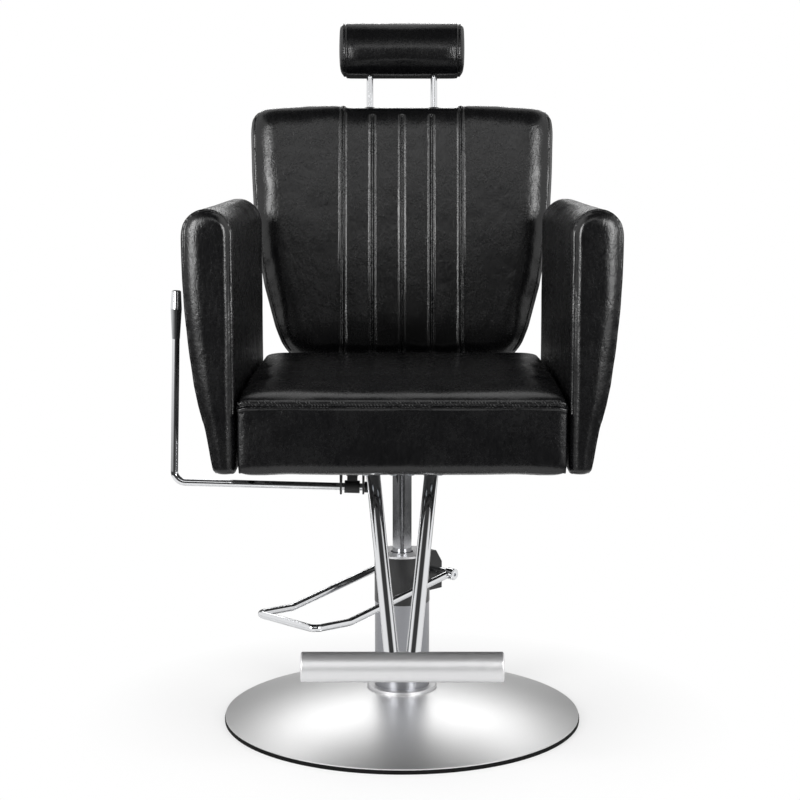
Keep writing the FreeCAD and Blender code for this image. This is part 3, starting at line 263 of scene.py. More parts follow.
def make_plywood():
    """Birch plywood, raw: 1.4 mm plies at the cut edge and long pale grain on the face."""
    material, tree, place, surface = new_material(
        "birch_plywood", Base_Color=hex_colour("#c8a878"), Roughness=0.62
    )
    grain = noise(tree, stretched(tree, place, (14.0, 90.0, 700.0)), 1.0, 4.0, 0.6, 0.6)
    tint = ramp(tree, grain, ((0.3, "#b08d5c"), (0.7, "#d9bd90")))
    tree.links.new(tint, surface.inputs["Base Color"])
    tree.links.new(bump(tree, grain, 0.1 * mm, 0.3), surface.inputs["Normal"])
    return material


def make_foam():
    """Cut polyurethane foam: pale, matte, with open cells of about 1 mm."""
    material, tree, place, surface = new_material(
        "cut_polyurethane_foam", Base_Color=hex_colour("#d8d0b4"), Roughness=0.92
    )
    cells = add_node(tree, "ShaderNodeTexVoronoi", {"Scale": 900.0}, {"Vector": place})
    rough = bump(tree, cells.outputs["Distance"], 0.4 * mm, 0.6)
    tree.links.new(rough, surface.inputs["Normal"])
    return material


leather = make_leather()
thread = make_thread()
chrome = make_chrome("bright_chrome_plate", "#dfe0e2", 0.05)
ram_chrome = make_chrome("hard_chrome_rod", "#b4b5b8", 0.08)
spun_steel = make_spun_steel()
bar_steel = make_brushed_tube("brushed_stainless_bar", (90.0, 900.0, 900.0), "#dededf", 0.42)
column_steel = make_brushed_tube("brushed_stainless_column", (90.0, 90.0, 1500.0), "#95969a")
turned_steel = make_machined()
ring_steel = make_brushed_tube("satin_ring", (700.0, 700.0, 700.0), "#c4c4c5", 0.40)
powder_coat = make_coated("black_powder_coat", "#0c0c0d", 0.36, 900.0, 0.08 * mm)
cast_black = make_coated("black_enamelled_casting", "#121213", 0.30, 420.0, 0.12 * mm)
moulded_black = make_coated("moulded_black_nylon", "#0e0e0f", 0.42, 1500.0, 0.04 * mm)
rubber = make_coated("black_rubber", "#040404", 0.68, 1100.0, 0.06 * mm, 0.15)

# Which finish each of the record's material slots takes
slot_finish = {
    "rubber_black": rubber,
    "satin_steel": spun_steel,
    "machined_steel": turned_steel,
    "zinc_steel": make_zinc(),
    "chrome": chrome,
    "black_cast": cast_black,
    "black_painted_steel": powder_coat,
    "bronze": make_bronze(),
    "plywood": make_plywood(),
    "upholstery_foam": make_foam(),
    "black_leather": leather,
    "black_plastic": moulded_black,
}
# Nodes whose finish differs from the rest of their slot
node_finish = {
    "footrest_bar": bar_steel,
    "bar_end_caps": bar_steel,
    "pump_cylinder": column_steel,
    "top_ring": ring_steel,
    "neck_ring": ring_steel,
    "ram": ram_chrome,
}


def finish_node(node, material):
    """Gives every material slot of a node of the frame its finish."""
    obj = frame["nodes"][node]
    if not obj.material_slots:
        obj.data.materials.append(material)
    for place in obj.material_slots:
        place.material = material


for subpart in frame["record"]["subparts"]:
    name = subpart["node"]
    finish_node(name, node_finish.get(name, slot_finish[subpart["material_slot"]]))


# Upholstery: each pad starts as a block on its outline, swells as cloth, and then gets its seams


def arc_points(centre, radius, start, end, count):
    """Points on an arc, with its angles in degrees."""
    turns = [math.radians(start + (end - start) * step / count) for step in range(count + 1)]
    return [(centre[0] + radius * math.cos(t), centre[1] + radius * math.sin(t)) for t in turns]


def smooth_points(points, times):
    """An open line of points with its corners cut, so that it runs in soft curves."""
    for _ in range(times):
        cut = [points[0]]
        for a, b in zip(points, points[1:]):
            cut.append((0.75 * a[0] + 0.25 * b[0], 0.75 * a[1] + 0.25 * b[1]))
            cut.append((0.25 * a[0] + 0.75 * b[0], 0.25 * a[1] + 0.75 * b[1]))
        cut.append(points[-1])
        points = cut
    return points


def round_edges(block, edges, width, segments):
    """Rounds edges of a bmesh over a width in mm."""
    bmesh.ops.bevel(
        block,
        geom=edges,
        offset=width * mm,
        offset_type="OFFSET",
        segments=segments,
        profile=0.5,
        affect="EDGES",
        clamp_overlap=True,
        material=-1,
    )


def outline_block(outline, depth, front_round, rear_round):
    """A block whose front face is the outline, at Z 0, with its front and rear rims rounded."""
    block = bmesh.new()
    face = block.faces.new([block.verts.new((a * mm, b * mm, 0.0)) for a, b in outline])
    grown = bmesh.ops.extrude_face_region(block, geom=[face])["geom"]
    moved = [part for part in grown if isinstance(part, bmesh.types.BMVert)]
    bmesh.ops.translate(block, verts=moved, vec=(0.0, 0.0, -depth * mm))
    bmesh.ops.recalc_face_normals(block, faces=block.faces)
    for height, radius in ((0.0, front_round), (-depth * mm, rear_round)):
        rim = [e for e in block.edges if all(abs(v.co.z - height) < 1e-6 for v in e.verts)]
        round_edges(block, rim, radius, 5)
    return block


def opened(obj):
    """The object's mesh as a bmesh."""
    block = bmesh.new()
    block.from_mesh(obj.data)
    return block


def store(block, mesh):
    """Writes a bmesh to a mesh and frees it."""
    block.to_mesh(mesh)
    block.free()
    return mesh


def smooth_faces(block):
    for face in block.faces:
        face.smooth = True


def new_object(name, block, material):
    mesh = store(block, bpy.data.meshes.new(name))
    mesh.materials.append(material)
    obj = bpy.data.objects.new(name, mesh)
    bpy.context.scene.collection.objects.link(obj)
    return obj


def settle(obj):
    """Applies the object's modifiers to its mesh."""
    graph = bpy.context.evaluated_depsgraph_get()
    mesh = bpy.data.meshes.new_from_object(obj.evaluated_get(graph))
    obj.modifiers.clear()
    old = obj.data
    obj.data = mesh
    bpy.data.meshes.remove(old)


def coordinates(obj):
    values = np.empty(len(obj.data.vertices) * 3)
    obj.data.vertices.foreach_get("co", values)
    return values.reshape(-1, 3)


def move_to(obj, values):
    obj.data.vertices.foreach_set("co", values.ravel())
    obj.data.update()


def remesh(obj, voxel):
    """An even net over the object, with cells of a size in mm."""
    net = obj.modifiers.new("even net", "REMESH")
    net.mode = "VOXEL"
    net.voxel_size = voxel * mm
    settle(obj)
    ease = obj.modifiers.new("ease", "SMOOTH")
    ease.factor = 0.5
    ease.iterations = 6
    settle(obj)


def eased(obj, shift, times):
    """A shift of the mesh's points, evened out between neighbours."""
    ends = np.empty(len(obj.data.edges) * 2, dtype=np.int32)
    obj.data.edges.foreach_get("vertices", ends)
    first, second = ends.reshape(-1, 2).T
    count = len(shift)
    neighbours = np.maximum(np.bincount(ends, minlength=count), 1)[:, None]
    for _ in range(times):
        total = [
            np.bincount(first, shift[second, axis], count)
            + np.bincount(second, shift[first, axis], count)
            for axis in range(3)
        ]
        shift = 0.5 * shift + 0.5 * np.stack(total, axis=1) / neighbours
    return shift


def swell(obj, limit):
    """Blows the pad up as cloth, each point moving no further than the limit on each axis."""
    before = coordinates(obj)
    frames = 20
    cloth = obj.modifiers.new("padding", "CLOTH")
    cloth.settings.use_pressure = True
    cloth.settings.uniform_pressure_force = 4.0
    cloth.settings.effector_weights.gravity = 0.0
    cloth.collision_settings.use_collision = False
    cloth.point_cache.frame_start = 1
    cloth.point_cache.frame_end = frames
    scene = bpy.context.scene
    for number in range(1, frames + 1):
        scene.frame_set(number)
    settle(obj)
    scene.frame_set(1)
    cap = np.array(limit) * mm
    moved = coordinates(obj) - before
    move_to(obj, before + eased(obj, cap * np.tanh(moved / cap), 16))
    refine = obj.modifiers.new("smooth skin", "SUBSURF")
    refine.levels = 1
    refine.render_levels = 1
    settle(obj)


def edge_distance(places, line):
    """How far places in a plane are from a line of points, all in mm."""
    nearest = np.full(len(places), 1e6)
    for start, end in zip(line, line[1:]):
        start = np.array(start, float)
        along = np.array(end, float) - start
        share = np.clip((places - start) @ along / max(along @ along, 1e-9), 0.0, 1.0)
        nearest = np.minimum(nearest, np.hypot(*(places - start - share[:, None] * along).T))
    return nearest


def soft_step(values, low, high):
    """0 below low, 1 above high, and a smooth change between them."""
    share = np.clip((values - low) / (high - low), 0.0, 1.0)
    return share * share * (3.0 - 2.0 * share)


def draw_corner(first, second, start, radius, strength=0.8):
    """Two outward distances, with the round corner past the start drawn out to a square one."""
    away = [np.maximum(first - start[0], 0.0), np.maximum(second - start[1], 0.0)]
    longest = np.maximum(np.maximum(*away), 1e-9)
    grow = np.where(np.minimum(*away) > 0, np.hypot(*away) / longest, 1.0)
    grow = 1.0 + strength * (grow - 1.0)
    limit = radius * mm
    return [
        np.where(part > 0, base + np.minimum(part * grow, np.maximum(part, limit)), value)
        for value, part, base in zip((first, second), away, start)
    ]


def surface_tree(obj):
    block = opened(obj)
    tree = BVHTree.FromBMesh(block)
    block.free()
    return tree


def cast(tree, starts, way):
    """Where rays from the start points first meet the surface."""
    hits = []
    for start in starts:
        place = tree.ray_cast(Vector(start), Vector(way))[0]
        if place is not None:
            hits.append(place)
    return hits


def resample(path, pitch):
    """Points along a path at an even pitch, in metres."""
    spaced = []
    left = 0.0
    for a, b in zip(path, path[1:]):
        length = (b - a).length
        while left < length:
            spaced.append(a.lerp(b, left / length))
            left += pitch
        left -= length
    return spaced


def press_seams(obj, seams):
    """Presses seams into the pad.

    Each seam is (path, depth, width, ridge height, ridge distance), with all but the path in mm.
    """
    places = [place for seam in seams for place in seam[0]]
    owner = [index for index, seam in enumerate(seams) for _ in seam[0]]
    near = KDTree(len(places))
    for number, place in enumerate(places):
        near.insert(place, number)
    near.balance()
    block = opened(obj)
    reach = 9.0 * mm
    # The mesh is cut finer round the seams, so that they come out crisp
    close = {v for v in block.verts if near.find(v.co)[2] < reach}
    edges = [e for e in block.edges if e.verts[0] in close and e.verts[1] in close]
    bmesh.ops.subdivide_edges(block, edges=edges, cuts=1, use_grid_fill=True)
    block.normal_update()
    shifts = []
    for vert in block.verts:
        number, distance = near.find(vert.co)[1:]
        _, depth, width, ridge, spread = seams[owner[number]]
        away = distance / mm
        if away > 4 * spread:
            continue
        fall = depth * math.exp(-((away / width) ** 2))
        rise = ridge * math.exp(-(((away - spread) / (0.45 * spread)) ** 2))
        shifts.append((vert, vert.normal * ((rise - fall) * mm)))
    for vert, shift in shifts:
        vert.co += shift
    smooth_faces(block)
    store(block, obj.data)


def one_stitch(length, radius):
    """A single thread along X, in mm."""
    block = bmesh.new()
    bmesh.ops.create_uvsphere(block, u_segments=6, v_segments=4, radius=1.0)
    size = Matrix.Diagonal((length / 2 * mm, radius * mm, radius * mm, 1.0))
    bmesh.ops.transform(block, matrix=size, verts=block.verts)
    smooth_faces(block)
    return store(block, bpy.data.meshes.new("stitch"))


def sew(name, pad, rows, body, length=3.2, radius=0.5, slant=0.0):
    """Short threads along the rows. A row is (path, sideways offset in mm, pitch in mm)."""
    tree = surface_tree(pad)
    batch_size = 60
    lean_over = Matrix.Rotation(math.radians(slant), 4, "Z")
    stitch = one_stitch(length, radius)
    places = []
    for path, offset, pitch in rows:
        points = resample(path, pitch * mm)
        for before, place, after in zip(points, points[1:], points[2:]):
            on, normal = tree.find_nearest(place)[:2]
            along = (after - before).normalized()
            across = along.cross(normal).normalized()
            on, normal = tree.find_nearest(on + across * (offset * mm))[:2]
            across = along.cross(normal).normalized()
            along = normal.cross(across).normalized()
            turn = Matrix((along, across, normal)).transposed().to_4x4()
            foot = Matrix.Translation(on + normal * (0.15 * radius * mm))
            places.append(foot @ turn @ lean_over)
    # Threads are gathered in short batches, because one growing mesh takes far longer
    batches = []
    for start in range(0, len(places), batch_size):
        batch = bmesh.new()
        for place in places[start:start + batch_size]:
            first = len(batch.verts)
            batch.from_mesh(stitch)
            batch.verts.ensure_lookup_table()
            bmesh.ops.transform(batch, matrix=place, verts=batch.verts[first:])
        batches.append(store(batch, bpy.data.meshes.new("batch")))
    stitches = bmesh.new()
    for mesh in batches:
        stitches.from_mesh(mesh)
    obj = new_object(name, stitches, thread)
    for mesh in batches + [stitch]:
        bpy.data.meshes.remove(mesh)
    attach(obj, body)


def finish_pad(obj, body, nodes):
    """Says what body a pad rides on and which nodes it stands for."""
    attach(obj, body)
    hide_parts(*nodes)


# Backrest, in its own leaning axes: across, up the back, and out of its front face
lean = math.radians(11.0)
back_up = Vector((0.0, math.sin(lean), math.cos(lean)))
back_out = Vector((0.0, -math.cos(lean), math.sin(lean)))
back_foot = Vector((0.0, 280.0 * mm, 592.0 * mm))
back_turn = Matrix(((1.0, 0.0, 0.0), back_up, back_out)).transposed().to_4x4()
back_axes = Matrix.Translation(back_foot) @ back_turn

back_side = [
    (190, -14), (205, -4), (216, 8), (223, 19), (234, 46.7), (249, 102.7), (255, 125), (262, 166.9),
    (274, 253.5), (278, 337), (280, 411.4), (278, 432.8), (267, 447), (256, 451.1), (183, 456.3),
    (120, 457.2), (107, 454.6), (92, 453.4),
]
# The backrest's five channels stand this far apart
channel_gap = 53.5
back_outline = back_side + [(-x, v) for x, v in reversed(back_side)]


def back_edge_x(v):
    """Half the backrest's width at a height."""
    side = [point for point in back_side if point[0] > 185 and point[1] < 440]
    return float(np.interp(v, [p[1] for p in side], [p[0] for p in side]))


def make_back():
    block = outline_block(back_outline, 94.0, 15.0, 13.0)
    pad = new_object("back_pad", block, leather)
    remesh(pad, 6.0)
    swell(pad, (2.5, 2.0, 5.0))
    values = coordinates(pad)
    flat = values[:, :2] / mm
    # The front falls away towards its sides, its top and its foot, and each panel is a soft pillow
    sides = [point for point in back_side if point[1] < 448]
    flat[:, 0] = np.abs(flat[:, 0])
    side_gap = edge_distance(flat, sides)
    top_gap = edge_distance(flat, back_side[11:] + [(0, 453.4)])
    foot_gap = edge_distance(flat, [(0, -14), (190, -14)])
    fall = 13.0 * np.clip(1 - side_gap / 55.0, 0, 1) ** 2
    fall += 4.0 * np.clip(1 - top_gap / 40.0, 0, 1) ** 2
    fall += 8.0 * np.clip(1 - foot_gap / 70.0, 0, 1) ** 2
    panel = np.abs(np.sin(math.pi * flat[:, 0] / channel_gap)) * (flat[:, 0] < 2 * channel_gap)
    panel *= soft_step(flat[:, 1], 30, 70) * (1 - soft_step(flat[:, 1], 400, 436))
    front = soft_step(values[:, 2] / mm, -52, -8)
    values[:, 2] += (1.4 * panel - fall) * front * mm
    move_to(pad, values)
    tree = surface_tree(pad)
    seams = []
    rows = []
    for centre in [step * channel_gap for step in range(-2, 3)]:
        top = 452.0 if abs(centre) > 100 else 432.0
        starts = [(centre * mm, v * mm, 0.2) for v in np.arange(-8.0, top, 1.0)]
        path = cast(tree, starts, (0, 0, -1))
        seams.append((path, 2.6, 1.5, 2.1, 3.9))
        rows.append((path, 0.0, 5.0))
    for side in (-1, 1):
        edge = [(side * (back_edge_x(v) - 11.0), v) for v in np.arange(6.0, 436.0, 1.0)]
        edge += smooth_points([edge[-1], (side * 266, 441), (side * 258, 449)], 2)[1:]
        path = cast(tree, [(x * mm, v * mm, 0.2) for x, v in edge], (0, 0, -1))
        seams.append((path, 2.6, 1.8, 0.7, 4.2))
        rows.append((path, side * -3.0, 5.0))
    rear = [(x * 0.93, 222 + (v - 222) * 0.93) for x, v in back_outline]
    rear = [Vector((x * mm, v * mm, -0.3)) for x, v in rear + rear[:1]]
    rear = resample(rear, 1.0 * mm)
    rear_path = cast(tree, rear, (0, 0, 1))
    seams.append((rear_path, 2.4, 1.8, 0.6, 4.2))
    rows.append((rear_path, 3.0, 5.0))
    press_seams(pad, seams)
    pad.data.transform(back_axes)
    rows = [([back_axes @ place for place in path], offset, pitch) for path, offset, pitch in rows]
    finish_pad(pad, "back", ("back_cover", "back_foam"))
    sew("back_stitches", pad, rows, "back")


# Seat, in axes of its side view: towards the rear, up, and across
seat_profile = [
    (-270, 462.5), (-269, 520), (-269, 566), (-268, 572), (-262, 581), (-248, 585), (-190, 590),
    (-110, 595), (-20, 597), (90, 597), (200, 595), (244, 592), (260, 584), (268, 572), (269, 520),
    (269, 462.5),
]
seat_axes = Matrix(((0.0, 0.0, 1.0), (1.0, 0.0, 0.0), (0.0, 1.0, 0.0))).to_4x4()
seat_taper, seat_front, seat_length = 0.034, 0.27, 0.54
strut_across = -82.5


def narrowed(rearward):
    """The seat's width at a place towards the rear, as a share of its width at the front."""
    return 1.0 - seat_taper * (rearward + seat_front) / seat_length


def make_seat():
    half = 254.6
    side, rim_foot, board_foot = 256.1 * mm, 462.6 * mm, 469.6 * mm
    block = outline_block(seat_profile, 2 * half, 6.0, 6.0)
    bmesh.ops.translate(block, verts=block.verts, vec=(0.0, 0.0, half * mm))
    pad = new_object("seat_pad", block, leather)
    remesh(pad, 6.0)
    swell(pad, (2.0, 5.0, 1.2))
    values = coordinates(pad)
    # The sides press flat against the arms
    values[:, 2] = np.clip(values[:, 2], -side, side)
    # The leather is turned under the board's edge, and stays above the board inside that
    rim = (np.abs(values[:, 2]) > 0.232) | (np.abs(values[:, 0]) > 0.246)
    values[:, 1] = np.maximum(values[:, 1], np.where(rim, rim_foot, board_foot))
    # Boxed corners: down the front's two sides, and along the foot of the front and of the sides
    way = np.sign(values[:, 2])
    wide, ahead, down = np.abs(values[:, 2]), -values[:, 0], -values[:, 1]
    wide, ahead = draw_corner(wide, ahead, (0.246, 0.259), 10.1)
    wide, down = draw_corner(wide, down, (0.246, -0.473), 10.1)
    ahead, down = draw_corner(ahead, down, (0.259, -0.473), 10.4)
    values[:, 2], values[:, 0], values[:, 1] = way * np.minimum(wide, side), -ahead, -down
    # The rear edge is cut out over the recline strut, which rises there as the back goes down
    over_strut = 1.0 - soft_step(np.abs(values[:, 2] / mm - strut_across), 30.0, 46.0)
    over_strut *= soft_step(values[:, 0] / mm, 200.0, 225.0)
    lowest = 462.0 + 9.5 * over_strut
    values[:, 1] = np.maximum(values[:, 1], np.where(over_strut > 0, lowest * mm, values[:, 1]))
    # The front lip droops at its two ends
    ends = np.clip((np.abs(values[:, 2]) - 0.236) / 0.02, 0, 1) ** 2
    lip = np.clip((values[:, 1] - 0.555) / 0.02, 0, 1) * np.clip((-0.2 - values[:, 0]) / 0.05, 0, 1)
    values[:, 1] -= 0.006 * ends * lip
    # The plan narrows towards the rear
    values[:, 2] *= narrowed(values[:, 0])
    move_to(pad, values)
    tree = surface_tree(pad)
    across = np.arange(-251.0, 251.5, 1.0)
    height = [573.0 - 5.0 * max(0.0, (abs(x) - 236.0) / 18.0) ** 2 for x in across]
    starts = [(-0.4, z * mm, x * mm) for x, z in zip(across, height)]
    front = cast(tree, starts, (1, 0, 0))
    seams = [(front, 2.6, 1.5, 1.9, 4.8)]
    press_seams(pad, seams)
    pad.data.transform(seat_axes)
    front = [seat_axes @ place for place in front]
    finish_pad(pad, "seat", ("seat_cover", "seat_foam"))
    # A fat overcast edge above the seam, and one plain row under it
    sew("seat_edge_stitches", pad, [(front, -5.2, 4.8)], "seat", 9.0, 1.15, 58.0)
    sew("seat_stitches", pad, [(front, 3.4, 4.6)], "seat", 3.6, 0.6)


# Arms, seen from the front: across, up, and out of the front face. One is made, the other mirrored.
arm_line = [(256.0, 462.0), (256.0, 560.0), (256.0, 700.0), (256.0, 833.5)]
arm_line += arc_points((296.0, 833.5), 40.0, 172.0, 8.0, 14)
arm_line += [
    (336.0, 833.5), (336.0, 804.0), (335.4, 760.0), (333.4, 720.0), (331.0, 692.0), (326.6, 650.0),
    (319.5, 600.0), (311.5, 560.0), (304.0, 533.0), (298.0, 500.0), (293.0, 468.0), (291.0, 462.0),
]


def shrunk(points, amount):
    """A closed outline drawn in by an amount, for points in order round it."""
    middle = np.mean(points, axis=0)
    drawn = []
    count = len(points)
    for index, point in enumerate(points):
        before, after = points[index - 1], points[(index + 1) % count]
        along = np.array(after, float) - np.array(before, float)
        inward = np.array((along[1], -along[0])) / max(np.hypot(*along), 1e-6)
        if np.dot(inward, middle - np.array(point)) < 0:
            inward = -inward
        drawn.append(tuple(np.array(point) + inward * amount))
    return drawn


def make_arms():
    block = outline_block(shrunk(arm_line, 1.0), 522.0, 3.5, 11.0)
    left = new_object("arm_pad_left", block, leather)
    remesh(left, 6.0)
    swell(left, (1.6, 1.6, 3.0))
    values = coordinates(left)
    values[:, 1] = np.maximum(values[:, 1], 462.0 * mm)
    inner, down = draw_corner(-values[:, 0], -values[:, 1], (-0.266, -0.472), 9.6)
    values[:, 0], values[:, 1] = np.maximum(-inner, 256.4 * mm), -down
    # The front panel is puffed: it falls away to its seam, over more of its width on the outer side
    flat = values[:, :2] / mm
    reach = np.interp(flat[:, 0], [275, 305], [17, 32])
    fall = 10.0 * np.clip(1 - edge_distance(flat, arm_line[:-1]) / reach, 0, 1) ** 2
    values[:, 2] -= fall * soft_step(values[:, 2] / mm, -34, -4) * mm
    move_to(left, values)
    tree = surface_tree(left)
    seam_line = shrunk(arm_line, 4.0)
    loop = [Vector((x * mm, z * mm, 0.2)) for x, z in seam_line[:-1] if z > 467]
    path = cast(tree, resample(loop, 1.0 * mm), (0, 0, -1))
    press_seams(left, [(path, 2.2, 1.4, 1.0, 3.4)])
    # The front face stands at y -274 mm, and the arms close in by 9 mm towards the rear
    arm_axes = Matrix((
        (1.0, 0.0, 9.0 / 540.0, 0.0),
        (0.0, 0.0, -1.0, -0.2735),
        (0.0, 1.0, 0.0, 0.0),
        (0.0, 0.0, 0.0, 1.0),
    ))
    left.data.transform(arm_axes)
    path = [arm_axes @ place for place in path]
    flip = Matrix.Diagonal((-1.0, 1.0, 1.0, 1.0))
    mesh = left.data.copy()
    mesh.transform(flip)
    mesh.flip_normals()
    right = bpy.data.objects.new("arm_pad_right", mesh)
    bpy.context.scene.collection.objects.link(right)
    sides = ((left, "left", path), (right, "right", [flip @ place for place in path]))
    for pad, side, line in sides:
        finish_pad(pad, "seat", ("arm_cover_" + side, "arm_core_" + side))
        sew("arm_stitches_" + side, pad, [(line, -2.4, 4.6), (line, 2.4, 4.6)], "seat", 2.8, 0.42)


# Headrest roll, in the section's axes: out of the front, up, and across
def make_headrest():
    mid_up = 564.0
    depth_mid = -47.0
    section = [
        (-20, -50), (20, -50), (34, -42), (43, -26), (47, -6), (46, 12), (40, 30), (28, 43),
        (12, 49), (-12, 49), (-28, 43), (-40, 30), (-46, 12), (-47, -6), (-43, -26), (-34, -42),
    ]
    section = [(a * 0.985, b * 0.985) for a, b in section]
    half = 114.5
    block = outline_block(section, 2 * half, 9.0, 9.0)
    bmesh.ops.translate(block, verts=block.verts, vec=(0.0, 0.0, half * mm))
    pad = new_object("headrest_pad", block, leather)
    remesh(pad, 4.0)
    swell(pad, (2.0, 2.0, 1.6))
    values = coordinates(pad)
    # The lower corners of the ends are cut back
    ends = np.clip((np.abs(values[:, 2]) - 0.0945) / 0.022, 0, 1) ** 2
    low = np.clip((-values[:, 1]) / 0.05, 0, 1)
    values[:, 1] += 0.010 * ends * low
    # The roll's front falls away towards its two ends
    end_gap = half - np.abs(values[:, 2]) / mm
    front = soft_step(values[:, 0] / mm, 0, 40)
    values[:, 0] -= 6.0 * np.clip(1 - end_gap / 46.0, 0, 1) ** 2 * front * mm
    move_to(pad, values)
    tree = surface_tree(pad)
    seams = []
    rows = []
    steps = 240
    for side in (-1, 1):
        place = side * (half - 10.0)
        middle = Vector((0.0, 0.0, place * mm))
        path = []
        for step in range(steps):
            turn = 2 * math.pi * step / steps
            way = Vector((math.cos(turn), math.sin(turn), 0.0))
            hit = tree.ray_cast(middle + way * 0.2, -way)[0]
            if hit is not None:
                path.append(hit)
        seams.append((path, 1.6, 1.4, 0.6, 3.4))
        rows.append((path + path[:1], side * 2.6, 4.6))
    press_seams(pad, seams)
    middle = back_foot + back_up * (mid_up * mm) + back_out * (depth_mid * mm)
    axes = Matrix((back_out, back_up, (1.0, 0.0, 0.0))).transposed().to_4x4()
    axes = Matrix.Translation(middle) @ axes
    pad.data.transform(axes)
    pad.data.flip_normals()
    rows = [([axes @ place for place in path], offset, pitch) for path, offset, pitch in rows]
    finish_pad(pad, "headrest", ("headrest_cover", "headrest_foam"))
    sew("headrest_stitches", pad, rows, "headrest", 2.8, 0.42)


make_back()
make_seat()
make_arms()
make_headrest()


# Small metal and plastic pieces that the frame leaves plain


def turned(profile, foot, axis, segments=32):
    """A closed ring spun from its section, given as (radius, height) in mm, about an axis."""
    block = bmesh.new()
    corners = [block.verts.new((radius * mm, 0.0, height * mm)) for radius, height in profile]
    loop = [block.edges.new((a, b)) for a, b in zip(corners, corners[1:] + corners[:1])]
    bmesh.ops.spin(
        block,
        geom=corners + loop,
        cent=(0.0, 0.0, 0.0),
        axis=(0.0, 0.0, 1.0),
        angle=2 * math.pi,
        steps=segments,
        use_merge=True,
        use_duplicate=False,
    )
    bmesh.ops.remove_doubles(block, verts=block.verts, dist=1e-6)
    bmesh.ops.recalc_face_normals(block, faces=block.faces)
    turn = Vector((0.0, 0.0, 1.0)).rotation_difference(Vector(axis)).to_matrix().to_4x4()
    bmesh.ops.transform(block, matrix=Matrix.Translation(foot) @ turn, verts=block.verts)
    return block


def join(blocks):
    """Several bmeshes as one."""
    whole = bmesh.new()
    for block in blocks:
        mesh = store(block, bpy.data.meshes.new("part"))
        whole.from_mesh(mesh)
        bpy.data.meshes.remove(mesh)
    return whole


def shade_round(obj, degrees=35.0):
    """Smooth shading, with edges sharper than the angle kept crisp."""
    block = opened(obj)
    smooth_faces(block)
    sharp = math.radians(degrees)
    for edge in block.edges:
        edge.smooth = len(edge.link_faces) == 2 and edge.calc_face_angle(0.0) < sharp
    store(block, obj.data)


def bevelled_box(size, middle, width, segments=2):
    """A box with rounded edges, in mm."""
    block = bmesh.new()
    bmesh.ops.create_cube(block, size=1.0)
    bmesh.ops.scale(block, vec=[value * mm for value in size], verts=block.verts)
    bmesh.ops.translate(block, vec=[value * mm for value in middle], verts=block.verts)
    round_edges(block, block.edges, width, segments)
    return block


def make_footrest_bracket():
    """The plate under the seat, with a short collar and its weld round the top of each rod."""
    blocks = [bevelled_box((140.0, 100.0, 6.0), (0.0, -190.0, 466.0), 1.2)]
    collar = [
        (11.2, 453.0), (15.0, 453.0), (16.0, 454.0), (16.0, 459.5), (17.5, 461.0), (19.5, 463.4),
        (11.2, 463.4),
    ]
    for x in (-46.0, 46.0):
        blocks.append(turned(collar, (x * mm, -0.1905, 0.0), (0, 0, 1)))
    bracket = new_object("footrest_mount", join(blocks), powder_coat)
    shade_round(bracket)
    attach(bracket, "seat")
    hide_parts("footrest_bracket")
    heads = []
    head = [(0.2, 458.4), (5.6, 458.4), (6.4, 459.2), (6.4, 463.0), (0.2, 463.0)]
    for x in (-58.0, -14.0, 14.0, 58.0):
        for y in (-228.0, -152.0):
            heads.append(turned(head, (x * mm, y * mm, 0.0), (0, 0, 1), 6))
    bolts = new_object("footrest_mount_bolts", join(heads), slot_finish["zinc_steel"])
    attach(bolts, "seat")


def make_base_edge():
    """A black rubber strip pushed on the edge of the base, down to the floor."""
    section = [
        (297.0, 0.0), (300.2, 0.0), (301.0, 0.8), (301.2, 4.2), (300.4, 6.6), (299.0, 7.2),
        (297.0, 7.6),
    ]
    edge = new_object("base_edge_strip", turned(section, (0, 0, 0), (0, 0, 1), 160), rubber)
    shade_round(edge)
    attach(edge, "base")


def make_gland_ring():
    """A thin steel washer that covers the recess between the pump's top ring and the ram."""
    section = [
        (18.6, 283.6), (19.2, 283.0), (27.0, 283.0), (27.0, 286.4), (26.6, 286.9), (19.2, 286.9),
        (18.6, 286.3),
    ]
    ring = new_object("gland_ring", turned(section, (0, 0, 0), (0, 0, 1), 48), ring_steel)
    shade_round(ring)
    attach(ring, "base")


def make_pedal_collars():
    """A collar on each end of the pedal's cross shaft, which is thicker there."""
    section = [(7.1, 0.0), (8.9, 0.0), (9.5, 0.7), (9.5, 15.2), (8.7, 16.0), (7.1, 16.0)]
    half = math.sqrt(0.5)
    middle = Vector((0.045 * half, 0.045 * half, 0.252))
    blocks = []
    for side in (-1, 1):
        way = Vector((half, -half, 0.0)) * side
        blocks.append(turned(section, middle + way * 0.0635, way))
    collars = new_object("pedal_shaft_collars", join(blocks), chrome)
    shade_round(collars)
    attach(collars, "pedal")


def make_post_sleeves():
    """Nylon sleeves for the headrest's posts, their flanges flush with the leather."""
    section = [
        (6.3, 352.0), (9.0, 352.0), (9.0, 453.6), (10.6, 454.2), (10.9, 455.2), (10.3, 456.2),
        (6.9, 456.4), (6.3, 455.8),
    ]
    blocks = []
    for x in (-59.0, 59.0):
        foot = back_axes @ Vector((x * mm, 0.0, -47.0 * mm))
        blocks.append(turned(section, foot, back_up))
    sleeves = new_object("post_sleeves", join(blocks), moulded_black)
    shade_round(sleeves)
    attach(sleeves, "back")
    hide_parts("post_guides")


